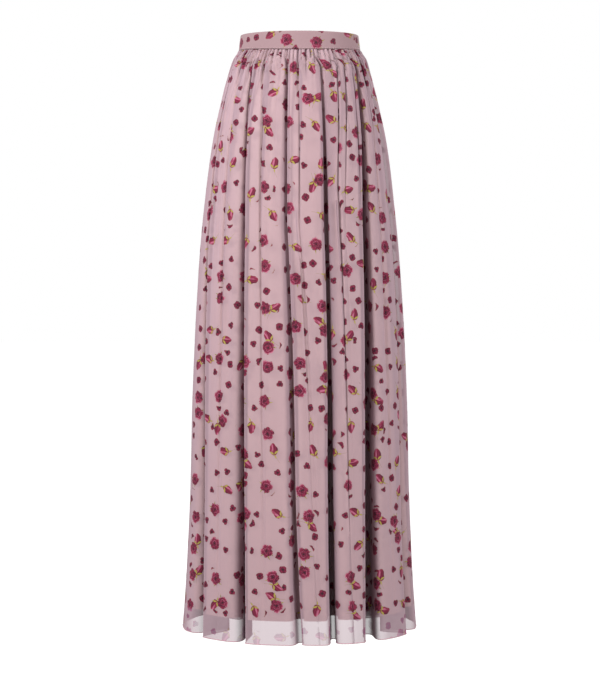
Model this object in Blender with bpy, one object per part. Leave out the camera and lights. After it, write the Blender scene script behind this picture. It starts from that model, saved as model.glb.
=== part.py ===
"""A maxi skirt, worn: a fitted waistband over a gathered, lined skirt with a concealed zip at centre back.

Metres, +Z up. The front faces -Y and the wearer's left is +X. The origin is the middle of the waistband.
Angles go round the skirt from centre front, 0, past the +X side, 90, to centre back, 180.
The cloth hangs in lobes on a smooth envelope, and each fold is a slot that runs in from it.
"""

import math
from collections import namedtuple

import bmesh
import bpy
import numpy as np
from mathutils import Matrix

MM = 0.001

# Heights
BAND_TOP = 0.0175
SEAM_AT_SIDE = -0.0112  # the waist seam dips towards centre front and centre back
SEAM_AT_CENTRE = -0.0170
HEM = -1.1125
LINING_HEM = -1.0695

# Walls and gaps
BAND_WALL = 3.0 * MM
CLOTH_WALL = 1.0 * MM
SEAM_GAP = 0.3 * MM
BAND_END_GAP = 2.0 * MM

# The envelope's half width and half depth, from the waistband's top to the hem
Section = namedtuple("Section", "height half_width half_depth")
ENVELOPE = [
    Section(0.0175, 0.1105, 0.0865),
    Section(-0.0140, 0.1148, 0.0905),
    Section(-0.0285, 0.1234, 0.0985),
    Section(-0.0670, 0.1370, 0.1090),
    Section(-0.1050, 0.1483, 0.1180),
    Section(-0.1820, 0.1648, 0.1310),
    Section(-0.2970, 0.1798, 0.1450),
    Section(-0.4500, 0.1942, 0.1580),
    Section(-0.6800, 0.2058, 0.1720),
    Section(-0.8330, 0.2096, 0.1790),
    Section(-0.9860, 0.2162, 0.1860),
    Section(-1.1125, 0.2250, 0.1920),
]

# One row a fold: its angle in degrees at waist, hip and hem, its depth in mm there, then in mm at the hem the
# width of its mouth and of its floor and how far each lip rounds, and how many degrees it leans off the radius
Fold = namedtuple(
    "Fold",
    "name waist_at hip_at hem_at waist_deep hip_deep hem_deep mouth floor round_left round_right lean",
)
FRONT_FOLDS = [
    Fold("side_pleat_left", -72, -70, -66, 4, 24, 95, 38, 22, 34, 18, -13),
    Fold("crease_left", -58, -50, -43, 4, 4, 0, 16, 8, 10, 6, 0),
    Fold("deep_left", -45, -33, -27, 18, 45, 100, 15, 16, 38, 12, -20),
    Fold("soft_left", -31, -23, -14, 12, 10, 1, 14, 6, 7, 9, 0),
    Fold("deep_middle", -11, -9, 1, 14, 28, 44, 24, 14, 20, 16, 0),
    Fold("soft_middle", -1, 0, 9, 9, 6, 0, 8, 4, 4, 4, 0),
    Fold("deep_right", 17, 16, 18, 18, 42, 76, 16, 30, 10, 14, 4),
    Fold("soft_right_1", 32, 23, 25, 9, 6, 0, 8, 4, 4, 4, 0),
    Fold("soft_right_2", 40, 28, 28, 9, 6, 0, 8, 4, 4, 4, 0),
    Fold("deep_side_right", 54, 42, 37, 16, 42, 68, 26, 20, 9, 26, 30),
    Fold("crease_right", 64, 55, 53, 4, 4, 0, 12, 6, 6, 6, 0),
    Fold("side_pleat_right", 74, 72, 69, 4, 20, 60, 38, 20, 12, 18, -7),
]
BACK_FOLDS_RIGHT = [
    Fold("back_soft_1", 104, 105, 106, 3, 4, 1, 16, 8, 10, 12, 0),
    Fold("back_deep_1", 119, 121, 124, 14, 34, 70, 20, 24, 22, 12, 8),
    Fold("back_soft_2", 134, 137, 141, 9, 8, 2, 14, 6, 8, 8, 0),
    Fold("back_deep_2", 148, 151, 155, 16, 40, 82, 18, 22, 12, 26, -6),
    Fold("back_soft_3", 164, 166, 168, 9, 6, 2, 12, 5, 7, 7, 0),
]
BACK_FOLDS_LEFT = [
    Fold("back_soft_4", -165, -167, -169, 9, 7, 2, 12, 5, 7, 7, 0),
    Fold("back_deep_3", -151, -155, -159, 14, 30, 58, 22, 20, 20, 16, 0),
    Fold("back_soft_5", -138, -143, -146, 9, 8, 3, 14, 6, 8, 10, 0),
    Fold("back_deep_4", -124, -127, -131, 16, 42, 88, 17, 24, 10, 30, 10),
    Fold("back_soft_6", -106, -108, -110, 3, 4, 1, 18, 8, 12, 10, 0),
]
SOFT_DEPTH = 10  # mm: a fold never deeper than this at the hip is a soft one, which the lining doesn't follow
WAIST_LEVEL = -0.045
HIP_LEVEL = -0.343
WAIST_DEPTH_DROP = 0.080  # drop below the seam where a fold has its waist depth
DIP_DROP = 0.40  # drop below the seam where the rings become level
GATHER_DROP = 0.045  # drop over which the even gathers draw together into folds
TOP_WIDTH_SHARE = 0.22  # a fold's width at the seam, as a share of its width at the hem
WIDTH_POWER = 0.6
LIP_REACH = 0.45  # how far a rounded corner reaches along the slot's sides, as shares of them
FLOOR_REACH = 0.35

# Rings of the cloth, as drops below the seam. The gathers need columns twice as close in the first ones.
TOP_DROP = 0.6 * MM  # clear of the waistband's lower edge, where the flaring wall's outer corner rises
GATHER_DROPS = [TOP_DROP, 0.014, 0.032]
LOBE_DROPS = [0.065, 0.120, 0.210, 0.340, 0.520, 0.720, 0.920]
GATHER_HEIGHTS = [0.7 * MM, 1.7 * MM, 1.1 * MM]
GATHER_SHARE = 0.30  # a gather stands no higher than this share of its column's width
FLAT_BY_ZIP = 13.0 * MM  # on each side of centre back the cloth has no gathers
FRONT_COLUMNS = 88  # two to a gather, so 44 gathers across the front
BACK_COLUMNS = 44

# The lining lies inside the cloth and follows its deep folds
LINING_TOP_RISE = 0.006
LINING_INSET_TOP = BAND_WALL / 2 + SEAM_GAP + CLOTH_WALL / 2
LINING_INSET_SIDE = 3.5 * MM
LINING_INSET_CENTRE = 15.0 * MM
LINING_INSET_RIGHT = 8.0 * MM  # more of it on the +X side, where the cloth falls clear of the lining
LINING_RIGHT_AT = 88  # degrees
LINING_RIGHT_SPREAD = 14
LINING_OPEN_DROP = 0.055  # drop over which the lining leaves the seam
LINING_DRAW_FROM = 0.33  # drops between which the lining comes out to LINING_HEM_SHARE of its inset
LINING_DRAW_TO = 1.03
LINING_FOLD_CLEARANCE = 4.0 * MM
LINING_HEM_SHARE = 0.25
LINING_DROPS = [0.0, 0.014, 0.032, 0.065, 0.120, 0.210, 0.340, 0.520, 0.720, 0.920]
FRONT_LINING_COLUMNS = 52
BACK_LINING_COLUMNS = 24

# The waistband
BAND_COLUMNS = 72
BAND_EDGE = 1.1 * MM
BAND_SHOULDER = BAND_TOP - BAND_EDGE
BAND_MIDDLE = 0.0

# The zip: tapes in the lining's layer, the closed chain between them and the slider on top
TAPE_WIDTH = 10.0 * MM
CHAIN_WIDTH = 4.2 * MM
CHAIN_THICK = 2.0 * MM
ZIP_DROPS = [0.0, 0.014, 0.032, 0.065, 0.120, 0.210]
ZIP_GAP = 0.6 * MM
ZIP_STEP_FROM = -0.050  # heights between which the tapes pass from under the cloth to under the band
ZIP_STEP_TO = -0.020
SLIDER_HEIGHT = 0.0110  # of the pull's hinge
SLIDER_BODY = (5.4 * MM, 2.4 * MM, 8.0 * MM)
NECK_WIDTH = 1.2 * MM
NECK_RADIUS = 1.7 * MM
HINGE_STAND_OFF = 3.4 * MM
HINGE_HOLE = 0.95 * MM
HINGE_PIN = 0.6 * MM
CHEEK_INSIDE = 0.95 * MM
CHEEK_OUTSIDE = 1.85 * MM
PULL_THICK = 1.0 * MM
CHEEK_SHARE = 0.9  # of the tab's thickness and of the pin's radius, so that no faces coincide
CHEEK_LAP = 1.5 * MM  # over the tab
PULL_TOP = 2.1 * MM  # from the hinge's axis to the top of the tab
PULL_LENGTH = 15.0 * MM
PULL_WIDTH = 4.4 * MM


def clear_scene():
    for item in list(bpy.data.objects):
        bpy.data.objects.remove(item)


def principled(name, color, roughness, metallic=0.0):
    material = bpy.data.materials.new(name)
    material.use_nodes = True
    shader = material.node_tree.nodes["Principled BSDF"]
    shader.inputs["Base Color"].default_value = (*color, 1.0)
    shader.inputs["Roughness"].default_value = roughness
    shader.inputs["Metallic"].default_value = metallic
    return material


def add_object(name, mesh, material):
    item = bpy.data.objects.new(name, mesh)
    bpy.context.scene.collection.objects.link(item)
    mesh.materials.append(material)
    mesh.shade_smooth()
    mesh.set_sharp_from_angle(angle=math.radians(40))
    return item


def smooth_through(x, xs, ys):
    """A cubic through the rows of a table that never swings past them."""
    steps = np.diff(ys) / np.diff(xs)
    slopes = np.concatenate([steps[:1], np.zeros(len(steps) - 1), steps[-1:]])
    same_way = steps[:-1] * steps[1:] > 0
    means = 2 * steps[:-1] * steps[1:] / np.where(same_way, steps[:-1] + steps[1:], 1)
    slopes[1:-1] = np.where(same_way, means, 0)
    row = np.clip(np.searchsorted(xs, x) - 1, 0, len(xs) - 2)
    width = xs[row + 1] - xs[row]
    t = (x - xs[row]) / width
    ends = (1 + 2 * t) * (1 - t) ** 2 * ys[row] + t**2 * (3 - 2 * t) * ys[row + 1]
    return ends + width * (t * (1 - t) ** 2 * slopes[row] - t**2 * (1 - t) * slopes[row + 1])


def soft_step(t):
    t = np.clip(t, 0, 1)
    return t * t * (3 - 2 * t)


def envelope_at(height):
    """(half width, half depth) of the envelope."""
    rows = np.array(ENVELOPE)[::-1]
    width = smooth_through(height, rows[:, 0], rows[:, 1])
    depth = smooth_through(height, rows[:, 0], rows[:, 2])
    return width, depth


def on_envelope(angle, height, inset=0.0):
    """The envelope's points at angles in degrees, drawn in by inset."""
    width, depth = envelope_at(height)
    turn = np.radians(angle)
    x = (width - inset) * np.sin(turn)
    y = -(depth - inset) * np.cos(turn)
    return np.stack(np.broadcast_arrays(x, y, height), axis=-1)


def angle_of(point, height, inset):
    """The angle, in degrees, of a point on the envelope drawn in by inset."""
    width, depth = envelope_at(height)
    return math.degrees(math.atan2(point[0] / (width - inset), -point[1] / (depth - inset)))


def girth_per_degree(angle, height, inset=0.0):
    width, depth = envelope_at(height)
    turn = np.radians(angle)
    along = np.hypot((width - inset) * np.cos(turn), (depth - inset) * np.sin(turn))
    return along * math.pi / 180


def seam_height(angle):
    return SEAM_AT_SIDE + (SEAM_AT_CENTRE - SEAM_AT_SIDE) * np.cos(np.radians(angle)) ** 2


SEAM_LEVEL = (SEAM_AT_SIDE + SEAM_AT_CENTRE) / 2
FULL_DROP = SEAM_LEVEL - HEM


def ring_height(angle, drop):
    """A ring's height: near the waist it follows the dip of the seam."""
    fade = 1 - soft_step(drop / DIP_DROP)
    return SEAM_LEVEL - drop + (seam_height(angle) - SEAM_LEVEL) * fade


def lining_inset(angle, drop):
    """How far the lining's envelope lies inside the cloth's."""
    angle = np.asarray(angle)
    turn = np.radians(angle)
    to_centre = np.cos(turn) ** 2
    to_right = np.exp(-(((angle - LINING_RIGHT_AT) / LINING_RIGHT_SPREAD) ** 2))
    spread = LINING_INSET_SIDE + (LINING_INSET_CENTRE - LINING_INSET_SIDE) * to_centre
    spread = spread + LINING_INSET_RIGHT * to_right
    opened = soft_step(drop / LINING_OPEN_DROP)
    low_down = soft_step((drop - LINING_DRAW_FROM) / (LINING_DRAW_TO - LINING_DRAW_FROM))
    drawn = 1 - (1 - LINING_HEM_SHARE) * low_down
    return LINING_INSET_TOP + spread * opened * drawn


def is_soft(fold):
    return fold.hip_deep <= SOFT_DEPTH


def fold_angle(fold, level):
    stations = [envelope_at(z)[0] for z in (WAIST_LEVEL, HIP_LEVEL, HEM)]
    return np.interp(envelope_at(level)[0], stations, [fold.waist_at, fold.hip_at, fold.hem_at])


def fold_depth(fold, drop):
    drops = np.array([0, WAIST_DEPTH_DROP, SEAM_LEVEL - HIP_LEVEL, FULL_DROP])
    depths = np.array([0, fold.waist_deep, fold.hip_deep, fold.hem_deep]) * MM
    return smooth_through(max(drop, 0), drops, depths)


def bend(before, corner, after, reach_in, reach_out, count):
    """Points on the curve that rounds a corner, from a share of the way back to a share of the way on."""
    start = corner + (before - corner) * reach_in
    end = corner + (after - corner) * reach_out
    shares = np.linspace(0, 1, count) if count > 1 else np.array([0.5])
    t = shares[:, None]
    return (1 - t) ** 2 * start + 2 * t * (1 - t) * corner + t**2 * end


def fold_points(fold, drop, lining, lip_count, floor_count):
    """The fold's first and last angle on the envelope, and its points from lip to floor to lip."""
    ease = LINING_FOLD_CLEARANCE if lining else 0.0
    angle = fold_angle(fold, SEAM_LEVEL - drop)
    height = ring_height(angle, drop)
    depth = fold_depth(fold, drop)
    scale = TOP_WIDTH_SHARE + (1 - TOP_WIDTH_SHARE) * (max(drop, 0) / FULL_DROP) ** WIDTH_POWER
    deepest = max(fold.waist_deep, fold.hip_deep, fold.hem_deep) * MM
    mouth = scale * fold.mouth * MM
    swell = max(0, fold.floor - fold.mouth) * MM * depth / deepest
    floor = scale * min(fold.floor, fold.mouth) * MM + swell

    heading = math.radians(-angle + fold.lean)
    inward = np.array([math.sin(heading), math.cos(heading), 0.0])
    across = np.array([math.cos(heading), -math.sin(heading), 0.0])
    centre = on_envelope(angle, height)
    inset = 0.0
    if lining:
        inset = float(lining_inset(angle, drop))
        angle = angle_of(centre + inward * inset, height, inset)
    per_degree = girth_per_degree(angle, height, inset)
    half_mouth = (mouth / 2 + ease) / per_degree
    start_angle = angle - half_mouth - scale * fold.round_left * MM / per_degree
    end_angle = angle + half_mouth + scale * fold.round_right * MM / per_degree
    start, left, right, end = (
        on_envelope(at, height, inset)
        for at in (start_angle, angle - half_mouth, angle + half_mouth, end_angle)
    )
    bottom = centre + inward * max(depth + ease, inset)
    floor_left = bottom - across * (floor / 2 + ease)
    floor_right = bottom + across * (floor / 2 + ease)
    points = np.concatenate(
        [
            bend(start, left, floor_left, 1.0, LIP_REACH, lip_count),
            bend(left, floor_left, floor_right, FLOOR_REACH, LIP_REACH, floor_count),
            bend(floor_left, floor_right, right, LIP_REACH, FLOOR_REACH, floor_count),
            bend(floor_right, right, end, LIP_REACH, 1.0, lip_count),
        ]
    )
    return start_angle, end_angle, points


def shared_out(total, widths):
    """Whole numbers that add up to total, in proportion to the widths."""
    exact = np.array(widths) * total / sum(widths)
    counts = np.floor(exact).astype(int)
    for i in np.argsort(counts - exact)[: total - counts.sum()]:
        counts[i] += 1
    return counts


def lobe_counts(folds, first, last, columns, sizes):
    """How many columns each lobe between two folds gets, from its width at the hem."""
    edges = [first] + [fold.hem_at for fold in folds] + [last]
    return shared_out(columns - 1 - sum(sizes), np.diff(edges))


def envelope_points(angles, drop, lining):
    """Points on the cloth's envelope at one drop, or on the lining's."""
    inset = lining_inset(angles, drop) if lining else 0.0
    return on_envelope(angles, ring_height(angles, drop), inset)


def lobe_points(before, after, drop, count, lining):
    shares = (np.arange(count) + 0.5) / max(count, 1)
    return envelope_points(before + (after - before) * shares, drop, lining)


def ring(folds, first, last, drop, columns, lining=False):
    """The cloth's points at one drop, from the panel's first angle to its last."""
    if lining:
        folds = [fold for fold in folds if not is_soft(fold)]
    samples = [(1, 1) if is_soft(fold) else (2, 1) if lining else (3, 1) for fold in folds]
    sizes = [2 * lips + 2 * floors for lips, floors in samples]
    lobes = lobe_counts(folds, first, last, columns, sizes)
    ends = envelope_points(np.array([first, last]), drop, lining)
    points = [ends[:1]]
    before = first
    for i, fold in enumerate(folds):
        start_angle, end_angle, inside = fold_points(fold, drop, lining, *samples[i])
        points += [lobe_points(before, start_angle, drop, lobes[i], lining), inside]
        before = end_angle
    points += [lobe_points(before, last, drop, lobes[-1], lining), ends[1:]]
    even = envelope_points(np.linspace(first, last, columns + 1), drop, lining)
    return even + (np.concatenate(points) - even) * soft_step(drop / GATHER_DROP)


def outward(points):
    """Each point's level unit normal, away from the wearer."""
    along = np.gradient(points, axis=0)
    normal = np.column_stack([along[:, 1], -along[:, 0], np.zeros(len(points))])
    return normal / np.linalg.norm(normal, axis=1)[:, None]


def gathered_ring(points, height):
    """Twice as many columns, with a crest on each even one and a trough between each two crests."""
    widths = np.linalg.norm(np.gradient(points, axis=0), axis=1)
    rise = np.minimum(height, GATHER_SHARE * widths) * (-1.0) ** np.arange(len(points))
    at_back = points[:, 1] > 0
    from_zip = soft_step((abs(points[:, 0]) - FLAT_BY_ZIP) / FLAT_BY_ZIP)
    rise *= np.where(at_back, from_zip, 1.0)
    rise[[0, -1]] = 0
    waved = points + outward(points) * rise[:, None]
    fine = np.empty((2 * len(points) - 1, 3))
    fine[::2] = waved
    fine[1::2] = (points[:-1] + points[1:]) / 2
    return fine


def sheet_mesh(name, rows):
    """A surface through rows of points, from the top row down, where a row may have half the columns."""
    model = bmesh.new()
    rings = [[model.verts.new(point) for point in row] for row in rows]
    for upper, lower in zip(rings, rings[1:]):
        if len(upper) == len(lower):
            for i in range(len(upper) - 1):
                model.faces.new([upper[i], lower[i], lower[i + 1], upper[i + 1]])
            continue
        for i in range(len(lower) - 1):
            first, middle, last = upper[2 * i : 2 * i + 3]
            model.faces.new([first, lower[i], middle])
            model.faces.new([lower[i], lower[i + 1], middle])
            model.faces.new([lower[i + 1], last, middle])
    mesh = bpy.data.meshes.new(name)
    model.to_mesh(mesh)
    model.free()
    return mesh


def cloth_panel(name, rows, material):
    """A panel of cloth: the middle of its wall is the surface through the rows."""
    panel = add_object(name, sheet_mesh(name, rows), material)
    wall = panel.modifiers.new("wall", "SOLIDIFY")
    wall.thickness = CLOTH_WALL
    wall.offset = 0.0
    wall.use_even_offset = False
    return panel


def shell_panel(name, folds, first, last, columns, material):
    rows = []
    for drop, height in zip(GATHER_DROPS, GATHER_HEIGHTS):
        rows.append(gathered_ring(ring(folds, first, last, drop, columns), height))
    for drop in LOBE_DROPS + [FULL_DROP]:
        rows.append(ring(folds, first, last, drop, columns))
    return cloth_panel(name, rows, material)


def lining_panel(name, folds, first, last, columns, material):
    drops = [-LINING_TOP_RISE] + LINING_DROPS + [SEAM_LEVEL - LINING_HEM]
    rows = [ring(folds, first, last, drop, columns, lining=True) for drop in drops]
    return cloth_panel(name, rows, material)


def gap_angle(angle, height, gap):
    """Half a gap, as an angle."""
    return gap / 2 / girth_per_degree(angle, height)


def swept_solid(name, sections, material):
    """A closed solid through equal loops of points, with flat ends."""
    model = bmesh.new()
    loops = [[model.verts.new(point) for point in section] for section in sections]
    for first, second in zip(loops, loops[1:]):
        for i in range(len(first)):
            after = (i + 1) % len(first)
            model.faces.new([first[i], first[after], second[after], second[i]])
    model.faces.new(loops[0])
    model.faces.new(loops[-1])
    bmesh.ops.recalc_face_normals(model, faces=model.faces)
    mesh = bpy.data.meshes.new(name)
    model.to_mesh(mesh)
    model.free()
    return add_object(name, mesh, material)


def waistband(material):
    """One strip round the waist, open at centre back, with a rounded top edge."""
    half = BAND_WALL / 2
    open_angle = gap_angle(180, 0, BAND_END_GAP)
    sections = []
    for angle in np.linspace(-180 + open_angle, 180 - open_angle, BAND_COLUMNS + 1):
        bottom = seam_height(angle)
        outline = [
            (half, bottom),
            (half, BAND_MIDDLE),
            (half, BAND_SHOULDER),
            (half - BAND_EDGE, BAND_TOP),
            (BAND_EDGE - half, BAND_TOP),
            (-half, BAND_SHOULDER),
            (-half, BAND_MIDDLE),
            (-half, bottom),
        ]
        sections.append([on_envelope(angle, z, -out) for out, z in outline])
    return swept_solid("waistband", sections, material)


def zip_layer(height):
    """How far inside the envelope the tapes' outer face lies: just inside the waistband, then the cloth."""
    under_cloth = CLOTH_WALL / 2 + ZIP_GAP
    under_band = BAND_WALL / 2 + SEAM_GAP
    share = soft_step((height - ZIP_STEP_FROM) / (ZIP_STEP_TO - ZIP_STEP_FROM))
    return under_cloth + (under_band - under_cloth) * share


def zip_strip(name, from_x, to_x, top, thick, columns, material):
    """A strip down the zip, between two distances from centre back, in the tapes' layer."""
    heights = [top, BAND_MIDDLE] + [ring_height(180, drop) for drop in ZIP_DROPS]
    sections = []
    for height in sorted(z for z in heights if z <= top):
        width, depth = envelope_at(height)
        out = zip_layer(height)
        xs = np.linspace(from_x, to_x, columns + 1)
        angles = 180 - np.degrees(np.arcsin(xs / width))
        face = on_envelope(angles, height, out)
        back = on_envelope(angles, height, out + thick)
        sections.append([*face, *back[::-1]])
    return swept_solid(name, sections, material)


def box(name, low, high, material):
    mesh = bpy.data.meshes.new(name)
    model = bmesh.new()
    bmesh.ops.create_cube(model, size=1.0)
    low, high = np.array(low), np.array(high)
    bmesh.ops.scale(model, vec=high - low, verts=model.verts)
    bmesh.ops.translate(model, vec=(low + high) / 2, verts=model.verts)
    model.to_mesh(mesh)
    model.free()
    return add_object(name, mesh, material)


def rod(name, radius, half_length, centre, material, sides=12):
    """A round bar along X."""
    mesh = bpy.data.meshes.new(name)
    model = bmesh.new()
    bmesh.ops.create_cone(
        model, cap_ends=True, segments=sides, radius1=radius, radius2=radius, depth=2 * half_length
    )
    bmesh.ops.rotate(model, matrix=Matrix.Rotation(math.pi / 2, 3, "Y"), verts=model.verts)
    bmesh.ops.translate(model, vec=centre, verts=model.verts)
    model.to_mesh(mesh)
    model.free()
    return add_object(name, mesh, material)


def combine(base, other, operation):
    """A Boolean on the base, whose tool stays out of the model."""
    step = base.modifiers.new(operation.lower(), "BOOLEAN")
    step.operation = operation
    step.object = other
    other.hide_render = True
    other.display_type = "WIRE"


def hinge_point():
    depth = envelope_at(SLIDER_HEIGHT)[1]
    return np.array([0.0, depth + BAND_WALL / 2 + HINGE_STAND_OFF, SLIDER_HEIGHT])


def zip_slider(material):
    """The body rides inside the tapes, and its thin neck comes out between the waistband's ends."""
    hinge = hinge_point()
    width, thick, tall = SLIDER_BODY
    face = envelope_at(SLIDER_HEIGHT)[1] - zip_layer(SLIDER_HEIGHT) - CLOTH_WALL - 2 * SEAM_GAP
    tilt = (envelope_at(SLIDER_HEIGHT - tall)[1] - envelope_at(SLIDER_HEIGHT)[1]) / 2
    face -= tilt
    body = box(
        "zip_slider",
        (-width / 2, face - thick, SLIDER_HEIGHT - tall / 2),
        (width / 2, face, SLIDER_HEIGHT + tall / 2),
        material,
    )
    neck = box(
        "slider_neck",
        (-NECK_WIDTH / 2, face - thick / 2, SLIDER_HEIGHT - NECK_RADIUS),
        (NECK_WIDTH / 2, hinge[1], SLIDER_HEIGHT + NECK_RADIUS),
        material,
    )
    eye = rod("slider_eye", NECK_RADIUS, NECK_WIDTH / 2, hinge, material, sides=16)
    hole = rod("slider_hole", HINGE_HOLE, NECK_WIDTH, hinge, material)
    combine(body, neck, "UNION")
    combine(body, eye, "UNION")
    combine(body, hole, "DIFFERENCE")
    return body


def zip_pull(material):
    """A tab on two cheeks, with a pin through the eye of the slider's neck. It hangs from its own origin."""
    hinge = hinge_point()
    half = PULL_THICK / 2
    tab = box(
        "zip_pull",
        (-PULL_WIDTH / 2, -half, -PULL_LENGTH),
        (PULL_WIDTH / 2, half, -PULL_TOP),
        material,
    )
    tab.location = hinge
    pin = rod("pull_pin", HINGE_PIN, CHEEK_OUTSIDE, hinge, material, sides=8)
    combine(tab, pin, "UNION")
    for side in (-1, 1):
        near, far = sorted((side * CHEEK_INSIDE, side * CHEEK_OUTSIDE))
        cheek = box(
            f"pull_cheek_{'left' if side < 0 else 'right'}",
            hinge + (near, -CHEEK_SHARE * half, -PULL_TOP - CHEEK_LAP),
            hinge + (far, CHEEK_SHARE * half, CHEEK_SHARE * HINGE_PIN),
            material,
        )
        combine(tab, cheek, "UNION")
    return tab


def main():
    clear_scene()
    chiffon = principled("dusty_pink_chiffon", (0.52, 0.33, 0.37), 0.80)
    lining = principled("pink_lining", (0.55, 0.30, 0.33), 0.60)
    tape = principled("zip_tape", (0.50, 0.30, 0.34), 0.85)
    coil = principled("zip_coil", (0.48, 0.28, 0.32), 0.45)
    metal = principled("painted_metal", (0.50, 0.30, 0.33), 0.35, 0.6)

    waistband(chiffon)

    side_gap = gap_angle(90, SEAM_LEVEL, SEAM_GAP)
    back_gap = gap_angle(180, SEAM_LEVEL, 2 * SEAM_GAP)
    right = (90 + side_gap, 180 - back_gap)
    left = (-180 + back_gap, -90 - side_gap)
    front = (-90 + side_gap, 90 - side_gap)
    shell_panel("shell_front", FRONT_FOLDS, *front, FRONT_COLUMNS, chiffon)
    shell_panel("shell_back_right", BACK_FOLDS_RIGHT, *right, BACK_COLUMNS, chiffon)
    shell_panel("shell_back_left", BACK_FOLDS_LEFT, *left, BACK_COLUMNS, chiffon)

    slit = gap_angle(180, SEAM_LEVEL, CHAIN_WIDTH + 2 * TAPE_WIDTH + 4 * SEAM_GAP)
    right = (right[0], 180 - slit)
    left = (-180 + slit, left[1])
    lining_panel("lining_front", FRONT_FOLDS, *front, FRONT_LINING_COLUMNS, lining)
    lining_panel("lining_back_right", BACK_FOLDS_RIGHT, *right, BACK_LINING_COLUMNS, lining)
    lining_panel("lining_back_left", BACK_FOLDS_LEFT, *left, BACK_LINING_COLUMNS, lining)

    inner = CHAIN_WIDTH / 2 + SEAM_GAP
    zip_strip("zip_tape_right", inner, inner + TAPE_WIDTH, BAND_SHOULDER, CLOTH_WALL, 3, tape)
    zip_strip("zip_tape_left", -inner - TAPE_WIDTH, -inner, BAND_SHOULDER, CLOTH_WALL, 3, tape)
    chain_top = SLIDER_HEIGHT - SLIDER_BODY[2] / 2 - SEAM_GAP
    zip_strip("zip_chain", -CHAIN_WIDTH / 2, CHAIN_WIDTH / 2, chain_top, CHAIN_THICK, 2, coil)
    zip_slider(metal)
    zip_pull(metal)


main()
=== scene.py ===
import math

import bmesh
import bpy
import numpy as np
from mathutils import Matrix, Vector


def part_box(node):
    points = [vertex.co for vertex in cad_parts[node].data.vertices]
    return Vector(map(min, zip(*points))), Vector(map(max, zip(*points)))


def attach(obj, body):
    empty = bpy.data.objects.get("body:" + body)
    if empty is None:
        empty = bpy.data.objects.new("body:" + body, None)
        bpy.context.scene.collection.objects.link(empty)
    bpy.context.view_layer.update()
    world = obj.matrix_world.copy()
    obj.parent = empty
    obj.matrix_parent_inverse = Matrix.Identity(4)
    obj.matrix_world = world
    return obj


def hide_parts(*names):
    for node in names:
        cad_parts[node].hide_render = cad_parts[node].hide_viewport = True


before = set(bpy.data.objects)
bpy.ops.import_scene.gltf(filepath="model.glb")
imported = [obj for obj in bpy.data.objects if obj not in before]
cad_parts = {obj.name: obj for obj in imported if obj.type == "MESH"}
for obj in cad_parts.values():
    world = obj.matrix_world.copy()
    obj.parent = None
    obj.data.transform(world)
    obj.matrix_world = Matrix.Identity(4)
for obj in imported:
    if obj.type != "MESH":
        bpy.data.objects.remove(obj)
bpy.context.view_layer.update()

mm = 0.001

# Sizes that the pieces share, in metres. Angles go round the skirt from centre front, 0, past the +X side,
# 90, to centre back, 180.
skirt = {
    "seamAtSide": -0.0112,      # the waist seam dips towards centre front and centre back
    "seamAtCentre": -0.0170,
    "hem": -1.1125,
    "liningHem": -1.0695,
    "dipDrop": 0.40,            # below the seam by this much, the rings are level
    "gatherDrop": 0.036,        # the even gathers draw together into folds over this drop
}
# height, half width and half depth of the smooth form that the cloth's lobes hang on
envelope = np.array([
    (0.0175, 0.1105, 0.0865),
    (-0.0140, 0.1148, 0.0905),
    (-0.0285, 0.1234, 0.0985),
    (-0.0670, 0.1370, 0.1090),
    (-0.1050, 0.1483, 0.1180),
    (-0.1820, 0.1648, 0.1310),
    (-0.2970, 0.1798, 0.1450),
    (-0.4500, 0.1942, 0.1580),
    (-0.6800, 0.2058, 0.1720),
    (-0.8330, 0.2096, 0.1790),
    (-0.9860, 0.2162, 0.1860),
    (-1.1125, 0.2250, 0.1920),
])[::-1]
# A fold's angle in degrees at waist, hip and hem, its depth in mm there, then in mm at the hem the width of
# its mouth and floor and how far each lip rounds, and how many degrees it leans off the radius
foldWords = "waistAt hipAt hemAt waistDeep hipDeep hemDeep mouth floor roundLeft roundRight lean".split()
frontFolds = [
    (-74, -70, -59, 4, 14, 84, 22, 22, 46, 10, -16),
    (-57, -50, -43, 9, 6, 0, 7, 3.5, 8, 3, 36),
    (-43, -34.1, -27.5, 26, 44, 94, 4, 9, 34, 4.5, -20),
    (-31, -23.5, -16, 15, 6, 0, 7, 3.5, 8, 3, 36),
    (-11, -9, -1, 20, 25, 30, 12, 10, 10, 36, 14),
    (-1, 0, 9, 13, 4, 0, 6, 3.5, 6, 3, 36),
    (17.3, 15.2, 15.8, 24, 32, 56, 10, 13, 7, 36, 18),
    (32.3, 22.4, 24, 15, 9, 0, 6, 3.5, 6, 3, 30),
    (40, 27, 29, 12, 1, 0, 6, 3.5, 6, 3, 36),
    (48, 38, 35, 9, 0, 0, 6, 3.5, 6, 3, 0),
    (54, 42, 36.8, 24, 46, 68, 20, 20, 9, 26, 30),
    (64, 55, 53, 5, 5, 0, 10, 5, 6, 6, 0),
    (74, 73, 71, 10, 27, 60, 30, 20, 12, 18, -7),
]
backRightFolds = [
    (104, 105, 106, 3, 4, 1, 16, 8, 10, 12, 0),
    (119, 121, 124, 14, 34, 70, 20, 24, 22, 12, 8),
    (134, 137, 141, 9, 8, 2, 14, 6, 8, 8, 0),
    (148, 151, 155, 16, 40, 82, 18, 22, 12, 26, -6),
    (164, 166, 168, 9, 6, 2, 12, 5, 7, 7, 0),
]
backLeftFolds = [
    (-165, -167, -169, 9, 7, 2, 12, 5, 7, 7, 0),
    (-151, -155, -159, 14, 30, 58, 22, 20, 20, 16, 0),
    (-138, -143, -146, 9, 8, 3, 14, 6, 8, 10, 0),
    (-124, -127, -131, 16, 42, 88, 17, 24, 10, 30, 10),
    (-106, -108, -110, 3, 4, 1, 18, 8, 12, 10, 0),
]
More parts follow.
